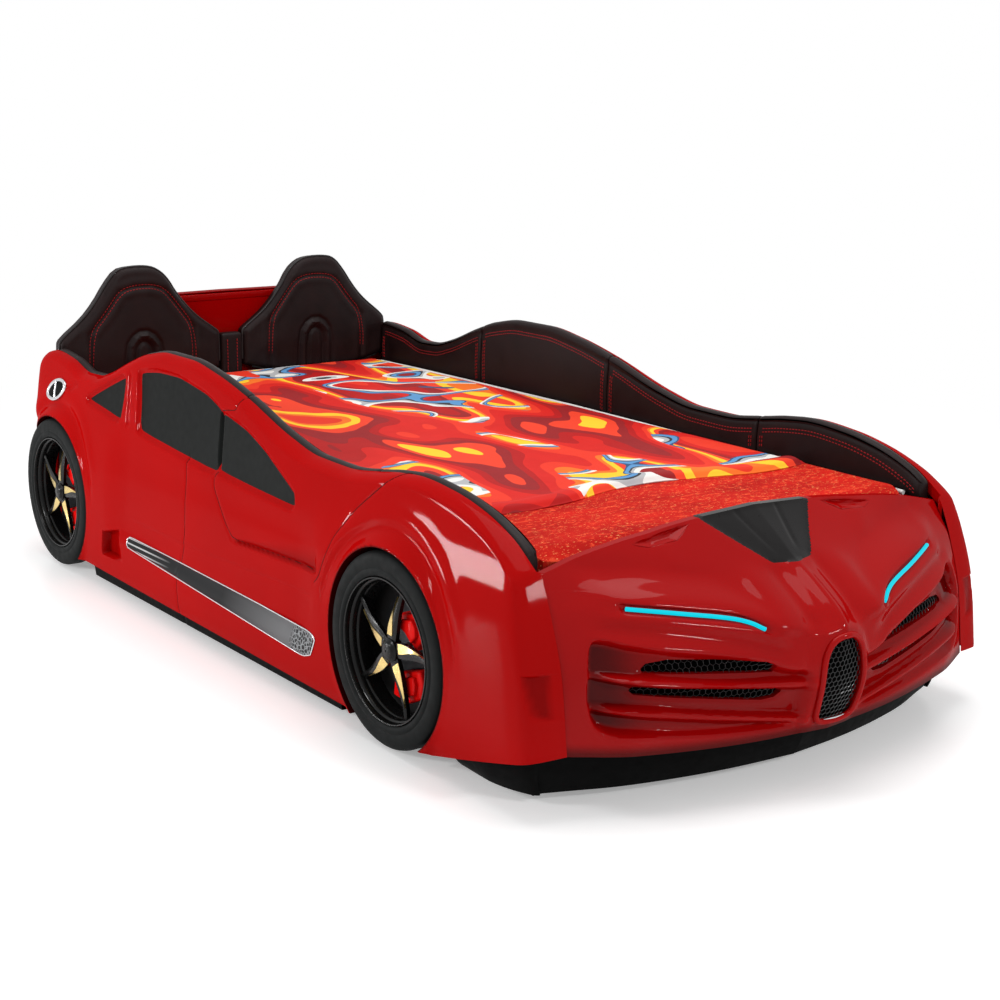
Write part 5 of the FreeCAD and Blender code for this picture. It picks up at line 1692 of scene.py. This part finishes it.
@dataclass
class RailPads:
    """Four padded lengths along one rail, with welts and double stitching."""
    side: Side
    inner: float = 460.0
    outer: float = 484.6
    seat: float = 384.5
    raise_top: float = 3.0
    mattress_top: float = 412.0
    seam_drops: Sequence[float] = (26.0, 33.0)
    end_seams: Sequence[float] = (12.0, 18.0)
    breaks: Sequence[float] = (1028.0, 560.0, 60.0, -430.0, -872.0)

    def section(self, top: np.ndarray, tuck: np.ndarray) -> list[tuple[np.ndarray, np.ndarray]]:
        """Loop round the pad at each place along it.

        Args:
            top: Height of the pad's top.
            tuck: How far its skin is drawn in there, for the rounded ends.

        Returns:
            Distance from the middle and height of each point of the loop.
        """
        mid = (self.inner + self.outer) / 2
        half = (self.outer - self.inner) / 2
        loop = []
        depth = top - self.seat
        for share in (0.0, 0.12, 0.3, 0.5, 0.68, 0.8, 0.86, 0.885, 0.91, 0.95):
            swell = 3.5 * np.sin(np.pi * np.clip(share, 0, 0.86) / 0.86) - 1.6 * (share == 0.885)
            loop.append((mid - (half + swell) * tuck, self.seat + depth * share))
        for k in range(7):
            angle = math.pi * k / 6
            height = top - 9.0 + 9.0 * math.sin(angle) * tuck - 2.0 * (1 - tuck)
            loop.append((mid - half * math.cos(angle) * tuck, height))
        for share in (0.8, 0.4, 0.0):
            loop.append((mid + half * tuck, self.seat + depth * share))
        return loop

    def face(self, y: np.ndarray, below: np.ndarray) -> np.ndarray:
        """Points on the inner face at a distance below its top."""
        top = curve(CREST, y) + self.raise_top
        share = 1 - below / np.maximum(top - self.seat, 1.0)
        swell = 3.5 * np.sin(np.pi * np.clip(share, 0, 0.86) / 0.86)
        mid, half = (self.inner + self.outer) / 2, (self.outer - self.inner) / 2
        return np.stack([self.side.value * (mid - half - swell), y, top - below], 1)

    def build(self) -> None:
        """Builds the pads and their stitching."""
        rows = []
        for number, (back, front) in enumerate(zip(self.breaks, self.breaks[1:]), 1):
            low, high = front + 1.0, back - 1.0
            ends = np.array([0, 0.6, 1.8, 3.6, 6.0, 9.0])
            y = np.concatenate([low + ends, np.linspace(low + 14, high - 14, 110), (high - ends)[::-1]])
            gap = np.minimum(y - low, high - y)
            tuck = np.sqrt(1 - (1 - np.clip(gap / 9.0, 0, 1)) ** 2) * 0.35 + 0.65
            top = curve(CREST, y) + self.raise_top
            loop = self.section(top, tuck)
            k = len(loop)
            points = np.stack([np.stack([self.side.value * x + 0 * y, y, z + 0 * y], 1) for x, z in loop], 1)
            n = len(y)
            block = mesh_from(f"rail_pad_{self.side.tag}_{number}", points.reshape(-1, 3),
                              ring_faces(n, k) + end_faces(n, k))
            pad = smooth(outward(block), 50)
            place(pad, "bed", "leatherette", [Finish.PADDING], [f"side_pad_{self.side.tag}_{number}"])
            inner = np.linspace(low + 12, high - 12, 90)
            for below in self.seam_drops:
                rows.append(self.face(inner, below + 0 * inner))
            for offset in self.end_seams:
                for at in (low + offset, high - offset):
                    room = curve(CREST, np.array([at]))[0] + self.raise_top - self.mattress_top
                    if room > 60:
                        down = np.linspace(40.0, room, 30)
                        rows.append(self.face(at + 0 * down, down))
        out = np.array([-self.side.value, 0.0, 0.0])
        made = [stitches("row", row, out) for row in rows]
        place(joined(f"rail_stitching_{self.side.tag}", made), "bed", "leatherette", [Finish.THREAD])


@dataclass
class HeadPads:
    """Two bucket-shaped pads and a narrow one between them, in front of the head board."""
    face_y: float = 1032.0
    back_y: float = 1065.5
    shape: Points = ((34, 400), (34, 519), (40, 526), (63, 542), (104, 572), (150, 624), (178, 671), (207, 694),
                     (235, 702), (281, 702.6), (315, 696), (345, 662), (375, 617), (410, 578), (466, 535),
                     (475, 519), (475, 400))
    arch: Points = ((214, 400), (214, 496), (236, 526), (266, 526), (288, 496), (288, 400))
    seam: Points = ((112, 400), (112, 540), (150, 590), (190, 640), (225, 652), (275, 652), (312, 642), (350, 590),
                    (396, 540), (396, 400))

    def relief(self, x: np.ndarray, z: np.ndarray) -> np.ndarray:
        """Place of the front face at x and z."""
        d = -edge_of(soften(self.shape, 1))(x, z)
        d = np.maximum(d, 0.0)
        t = np.clip(d / 17.0, 0, 1)
        y = self.face_y + 15.0 * (1 - np.sqrt(1 - (1 - t) ** 2))
        y = y - 3.0 * ease(20, 90, d)
        groove = gap_to(self.seam, x, z)[0]
        y = y + 2.6 * bell(groove, 0.0, 5.0) - 1.5 * bell(groove, 14.0, 10.0)
        ridge = gap_to(soften(self.arch, 1, closed=False), x, z)[0]
        within = inside(self.arch, x, z)
        y = y - 5.0 * bell(ridge, 0.0, 7.0) + 4.0 * bell(ridge, 14.0, 5.0) + 2.0 * within
        return y

    def bucket(self, side: Side) -> None:
        """Builds one bucket pad with piping and stitching."""
        x, z = np.meshgrid(np.linspace(30, 480, 182), np.linspace(402, 706, 124), indexing="ij")
        relief = Relief(x, z)
        outline = soften(self.shape, 1)
        relief.keep &= relief.fit(edge_of(outline))
        s = side.value
        front = self.relief(relief.a, relief.b)
        pad = relief.raise_mesh(f"bucket_pad_{side.tag}", s * relief.a, front, relief.b, (0, -1, 0))
        turn_in(pad, whole_rim, (0, 4.0, 0))
        turn_in(pad, whole_rim, (0, self.back_y - self.face_y - 19.5, 0))
        smooth(pad, 50)
        place(pad, "bed", "leatherette", [Finish.PADDING], [f"head_pad_{side.tag}"])
        edge = np.array([p for p in soften(self.shape, 2) if p[1] > 404])
        start = int(np.argmin(edge[:, 0] + 100 * (edge[:, 1] > 450)))
        edge = np.roll(edge, -start, 0)
        path = np.stack([s * edge[:, 0], 1044.0 + 0 * edge[:, 0], edge[:, 1]], 1)
        welt = tube(f"bucket_welt_{side.tag}", path, 3.0)
        place(welt, "bed", "leatherette", [Finish.PIPING])
        out = np.array([0.0, -1.0, 0.0])
        rows = []
        for offset in (-5.0, 5.0):
            line = np.array(soften(self.seam, 3, closed=False))
            tangent = np.gradient(line, axis=0)
            tangent /= np.linalg.norm(tangent, axis=1)[:, None]
            moved = line + np.stack([-tangent[:, 1], tangent[:, 0]], 1) * offset
            front = self.relief(moved[:, 0], moved[:, 1])
            rows.append(stitches("row", np.stack([s * moved[:, 0], front, moved[:, 1]], 1), out))
        place(joined(f"bucket_stitching_{side.tag}", rows), "bed", "leatherette", [Finish.THREAD])

    def middle(self) -> None:
        """Builds the narrow pad between the buckets."""
        pad = rounded_box("centre_pad", (0, 1.0496, 0.4595), (0.062, 0.031, 0.115), 0.009, 5)
        modify(pad, "SUBSURF", levels=1, render_levels=1)
        place(smooth(pad, 60), "bed", "leatherette", [Finish.PADDING], ["head_pad_centre"])
        out = np.array([0.0, -1.0, 0.0])
        z = np.linspace(408, 506, 40)
        rows = [stitches("row", np.stack([x + 0 * z, 1033.4 + 0 * z, z], 1), out) for x in (-14.0, 14.0)]
        place(joined("centre_stitching", rows), "bed", "leatherette", [Finish.THREAD])

    def build(self) -> None:
        """Builds all three pads."""
        for side in Side:
            self.bucket(side)
        self.middle()


# ---------------------------------------------------------------- bedding
@dataclass
class Bedding:
    """Mattress under a flecked sheet, and the printed spread with its wavy hem."""
    width: float = 900.0
    front: float = -872.0
    back: float = 1028.0
    low: float = 262.3
    top: float = 411.5
    sink: float = 24.0
    sink_reach: float = 62.0
    spread_half: float = 430.0
    hem_y: float = -586.0
    spread_back: float = 1016.0

    def crown(self, x: np.ndarray, y: np.ndarray) -> np.ndarray:
        """Height of the mattress's top."""
        edge = np.minimum(self.width / 2 - np.abs(x), np.minimum(y - self.front, self.back - y))
        round_top = self.top - 12.0 + 12.0 * np.sqrt(1 - (1 - np.clip(edge / 26.0, 0, 1)) ** 2)
        return round_top - self.dip(y)

    def dip(self, y: np.ndarray) -> np.ndarray:
        """How far the cover sinks behind the hood."""
        return self.sink * ease(self.sink_reach, 0.0, y - self.front)

    def mattress(self) -> None:
        """Builds the mattress and its piping."""
        half = self.width / 2
        x, y = np.meshgrid(np.linspace(-half, half, 181), np.linspace(self.front, self.back, 380), indexing="ij")
        relief = Relief(x, y)
        corner = soften([(-half, self.front), (half, self.front), (half, self.back), (-half, self.back)], 3,
                        share=0.035)
        relief.keep &= relief.fit(edge_of(corner))
        z = self.crown(relief.a, relief.b) - 0.8 * np.sin(relief.a / 37.0) * np.sin(relief.b / 53.0)
        top = relief.raise_mesh("mattress_cover", relief.a, relief.b, z, (0, 0, 1))
        turn_in(top, whole_rim, (0, 0, -60.0))
        turn_in(top, lambda c: c[:, 2] < 350, (0, 0, self.low - self.top + 12.0 + 60.0))
        level_floor(top, self.low)
        place(smooth(top, 50), "bedding", "mattress_cover", [Finish.SHEET], ["mattress"])
        ring = np.array(soften([(-446, self.front + 30), (-446, self.back - 4), (446, self.back - 4),
                                (446, self.front + 30)], 3, closed=False, share=0.035))
        lift = self.top - 1.5 - self.dip(ring[:, 1])
        piping = tube("mattress_piping", np.stack([ring[:, 0], ring[:, 1], lift], 1), 4.6)
        place(piping, "bedding", "mattress_cover", [Finish.COVER])

    def hem(self, x: np.ndarray) -> np.ndarray:
        """Place of the spread's wavy front edge."""
        return self.hem_y + 26.0 * np.sin((x + 120.0) / 900.0 * 2 * np.pi * 1.5)

    def spread(self) -> None:
        """Builds the spread, laid flat with soft ripples and a raised, rolled hem."""
        u, v = np.meshgrid(np.linspace(-1, 1, 176), np.linspace(0, 1, 320), indexing="ij")
        x = u * self.spread_half
        start = self.hem(x)
        y = start + (self.spread_back - start) * v ** 1.15
        reach = y - start
        lift = 9.0 * bell(reach, 26.0, 30.0) - 7.0 * ease(12.0, 0.0, reach)
        ripple = np.sin(x / 61.0 + y / 140.0) * np.sin(y / 97.0) + 0.6 * np.sin(x / 23.0 + 1.3 * np.sin(y / 71.0))
        side = ease(16.0, 0.0, self.spread_half - np.abs(x))
        z = self.top + 3.6 + lift * (1 - 0.7 * side) + ripple * 0.7 - 2.0 * side
        relief = Relief(x, y)
        cloth = relief.raise_mesh("bedspread_cloth", x, y, z, (0, 0, 1))
        modify(cloth, "SOLIDIFY", thickness=0.0022, offset=0.0)
        place(smooth(cloth, 60), "bedding", "spread_print", [Finish.SPREAD], ["bedspread"])

    def build(self) -> None:
        """Builds the bedding."""
        self.mattress()
        self.spread()


# ---------------------------------------------------------------- kept construction pieces
@dataclass
class Chassis:
    """Construction pieces that keep their own shape and get their finish."""
    finishes: dict[str, Finish] = field(default_factory=lambda: {
        "side_board_left": Finish.DARK_BOARD, "side_board_right": Finish.DARK_BOARD,
        "foot_board": Finish.DARK_BOARD,
        "head_board": Finish.TAIL_RED, "slat_ledgers": Finish.CHIPBOARD, "centre_beam": Finish.CHIPBOARD,
        "centre_legs": Finish.CHIPBOARD, "slats": Finish.BIRCH, "corner_brackets": Finish.STEEL,
        "bracket_screws": Finish.STEEL, "stub_axles": Finish.STEEL, "brake_discs": Finish.DISC,
        "spoiler_panel": Finish.TAIL_RED, "tail_panel": Finish.TAIL_RED})

    def dress(self, nodes: dict[str, bpy.types.Object]) -> None:
        """Gives every shown construction piece its finish."""
        for name, node in nodes.items():
            if node.hide_render:
                continue
            PALETTE.dress(node, self.finishes.get(name, Finish.BLACK))
            LOG.info("%s keeps its construction shape", name)

    def spoiler_lip(self) -> None:
        """Red strip that closes the step between the head board and the spoiler."""
        lip = rounded_box("spoiler_lip", (0, 1.074, 0.6085), (0.36, 0.0158, 0.0168), 0.003, 3)
        place(smooth(lip, 50), "bed", "red_shell", [Finish.TAIL_RED])


# ---------------------------------------------------------------- studio
@dataclass
class Studio:
    """Pale floor, soft lamps and the camera."""
    eye: tuple[float, float, float] = (-2.1369, -3.0226, 1.158)
    turn: float = -34.956
    tilt: float = 13.464
    roll: float = 0.334
    lens: float = 63.04
    shift: tuple[float, float] = (0.0496, 0.00065)

    def camera(self) -> None:
        """Places the camera."""
        a, e, k = (math.radians(v) for v in (self.turn, self.tilt, self.roll))
        back = Vector((math.sin(a) * math.cos(e), -math.cos(a) * math.cos(e), math.sin(e)))
        right = Vector((math.cos(a), math.sin(a), 0.0))
        up = back.cross(right)
        across = right * math.cos(k) + up * math.sin(k)
        above = up * math.cos(k) - right * math.sin(k)
        data = bpy.data.cameras.new("camera")
        data.lens, data.sensor_width = self.lens, 36.0
        data.shift_x, data.shift_y = self.shift
        data.clip_end = 60.0
        camera = linked("camera", data)
        frame = Matrix((across, above, back)).transposed().to_4x4()
        frame.translation = Vector(self.eye)
        camera.matrix_world = frame
        bpy.context.scene.camera = camera

    def lamp(self, name: str, at: tuple[float, float, float], aim: tuple[float, float, float],
             size: tuple[float, float], power: float) -> None:
        """Adds one softbox.

        Args:
            name: Name of the lamp.
            at: Where it stands, in metres.
            aim: What it points at, in metres.
            size: Width and height in metres.
            power: Watts.
        """
        data = bpy.data.lights.new(name, "AREA")
        data.shape = "RECTANGLE"
        data.size, data.size_y = size
        data.energy = power
        piece = linked(name, data)
        piece.location = at
        piece.rotation_euler = (Vector(aim) - Vector(at)).to_track_quat("-Z", "Y").to_euler()

    def world(self) -> None:
        """White surroundings, dimmer as a light than as a background."""
        world = bpy.data.worlds.new("studio")
        bpy.context.scene.world = world
        world.use_nodes = True
        nodes, links = world.node_tree.nodes, world.node_tree.links
        nodes.clear()
        path = nodes.new("ShaderNodeLightPath")
        seen, lit = nodes.new("ShaderNodeBackground"), nodes.new("ShaderNodeBackground")
        seen.inputs[1].default_value, lit.inputs[1].default_value = 1.0, 0.42
        seen.inputs[0].default_value = lit.inputs[0].default_value = (1, 1, 1, 1)
        mix, out = nodes.new("ShaderNodeMixShader"), nodes.new("ShaderNodeOutputWorld")
        either = [nodes.new("ShaderNodeMath"), nodes.new("ShaderNodeMath")]
        for step, (a, b) in zip(either, ((path.outputs["Is Camera Ray"], path.outputs["Is Glossy Ray"]),
                                         (either[0].outputs[0], path.outputs["Is Transmission Ray"]))):
            step.operation = "MAXIMUM"
            links.new(a, step.inputs[0])
            links.new(b, step.inputs[1])
        links.new(either[1].outputs[0], mix.inputs[0])
        links.new(lit.outputs[0], mix.inputs[1])
        links.new(seen.outputs[0], mix.inputs[2])
        links.new(mix.outputs[0], out.inputs[0])

    def floor(self) -> None:
        """The pale floor, which keeps the bed's shadow."""
        clear_selection()
        bpy.ops.mesh.primitive_plane_add(size=60.0, location=(0, 0, -0.0006))
        floor = named("studio_floor")
        settle(floor)
        t = Tree("pale_floor")
        cloud = t.noise(t.place(), 0.8, 2.0)
        colour = t.mix(cloud, (0.90, 0.90, 0.90), (0.93, 0.93, 0.93))
        t.set(Base_Color=colour, Roughness=0.35, Specular_IOR_Level=0.25)
        glow = t.add("ShaderNodeEmission", Color=(1, 1, 1, 1), Strength=0.30)
        join = t.add("ShaderNodeAddShader")
        t.links.new(t.shader.outputs[0], join.inputs[0])
        t.links.new(glow.outputs[0], join.inputs[1])
        away = t.add("ShaderNodeVectorMath", _operation="LENGTH", i0=t.place()).outputs[1]
        white = t.add("ShaderNodeEmission", Color=(1, 1, 1, 1), Strength=1.0)
        far = t.add("ShaderNodeMixShader", i0=t.span(away, 1.7, 3.4, 0.0, 1.0))
        t.links.new(join.outputs[0], far.inputs[1])
        t.links.new(white.outputs[0], far.inputs[2])
        path = t.add("ShaderNodeLightPath")
        seen = t.math("MAXIMUM", t.math("MAXIMUM", path.outputs["Is Camera Ray"], path.outputs["Is Glossy Ray"]),
                      path.outputs["Is Transmission Ray"])
        last = t.add("ShaderNodeMixShader", i0=seen)
        t.links.new(t.shader.outputs[0], last.inputs[1])
        t.links.new(far.outputs[0], last.inputs[2])
        t.links.new(last.outputs[0], t.out.inputs[0])
        floor.data.materials.append(t.material)

    def build(self) -> None:
        """Builds the studio."""
        bpy.context.scene.view_settings.view_transform = "Standard"
        self.camera()
        self.world()
        self.floor()
        self.lamp("roof_box", (0.2, -0.2, 3.4), (0.0, 0.0, 0.3), (2.6, 2.6), 72.0)
        self.lamp("front_box", (0.6, -4.6, 2.4), (0.0, -0.8, 0.3), (0.7, 0.35), 52.0)
        self.lamp("side_box", (-4.3, 0.7, 2.2), (-0.4, 0.0, 0.3), (0.7, 0.55), 54.0)
        self.lamp("low_box", (-2.9, 2.1, 0.55), (-0.5, -0.7, 0.35), (0.45, 0.35), 36.0)


def main() -> None:
    """Builds the bed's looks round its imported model."""
    logging.basicConfig(level=logging.INFO, format="%(name)s %(message)s")
    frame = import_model()
    Studio().build()
    for side in Side:
        SideShell(side).build()
        RailPads(side).build()
    Nose().build()
    for end, hub_y in (("front", FRONT_AXLE), ("rear", REAR_AXLE)):
        for side in Side:
            Wheel(f"{end}_{side.tag}", side, hub_y).build()
    Calipers([(side, hub_y) for hub_y in (FRONT_AXLE, REAR_AXLE) for side in Side]).build()
    HeadPads().build()
    Bedding().build()
    chassis = Chassis()
    chassis.dress(frame["nodes"])
    chassis.spoiler_lip()


if __name__ == "__main__":
    main()
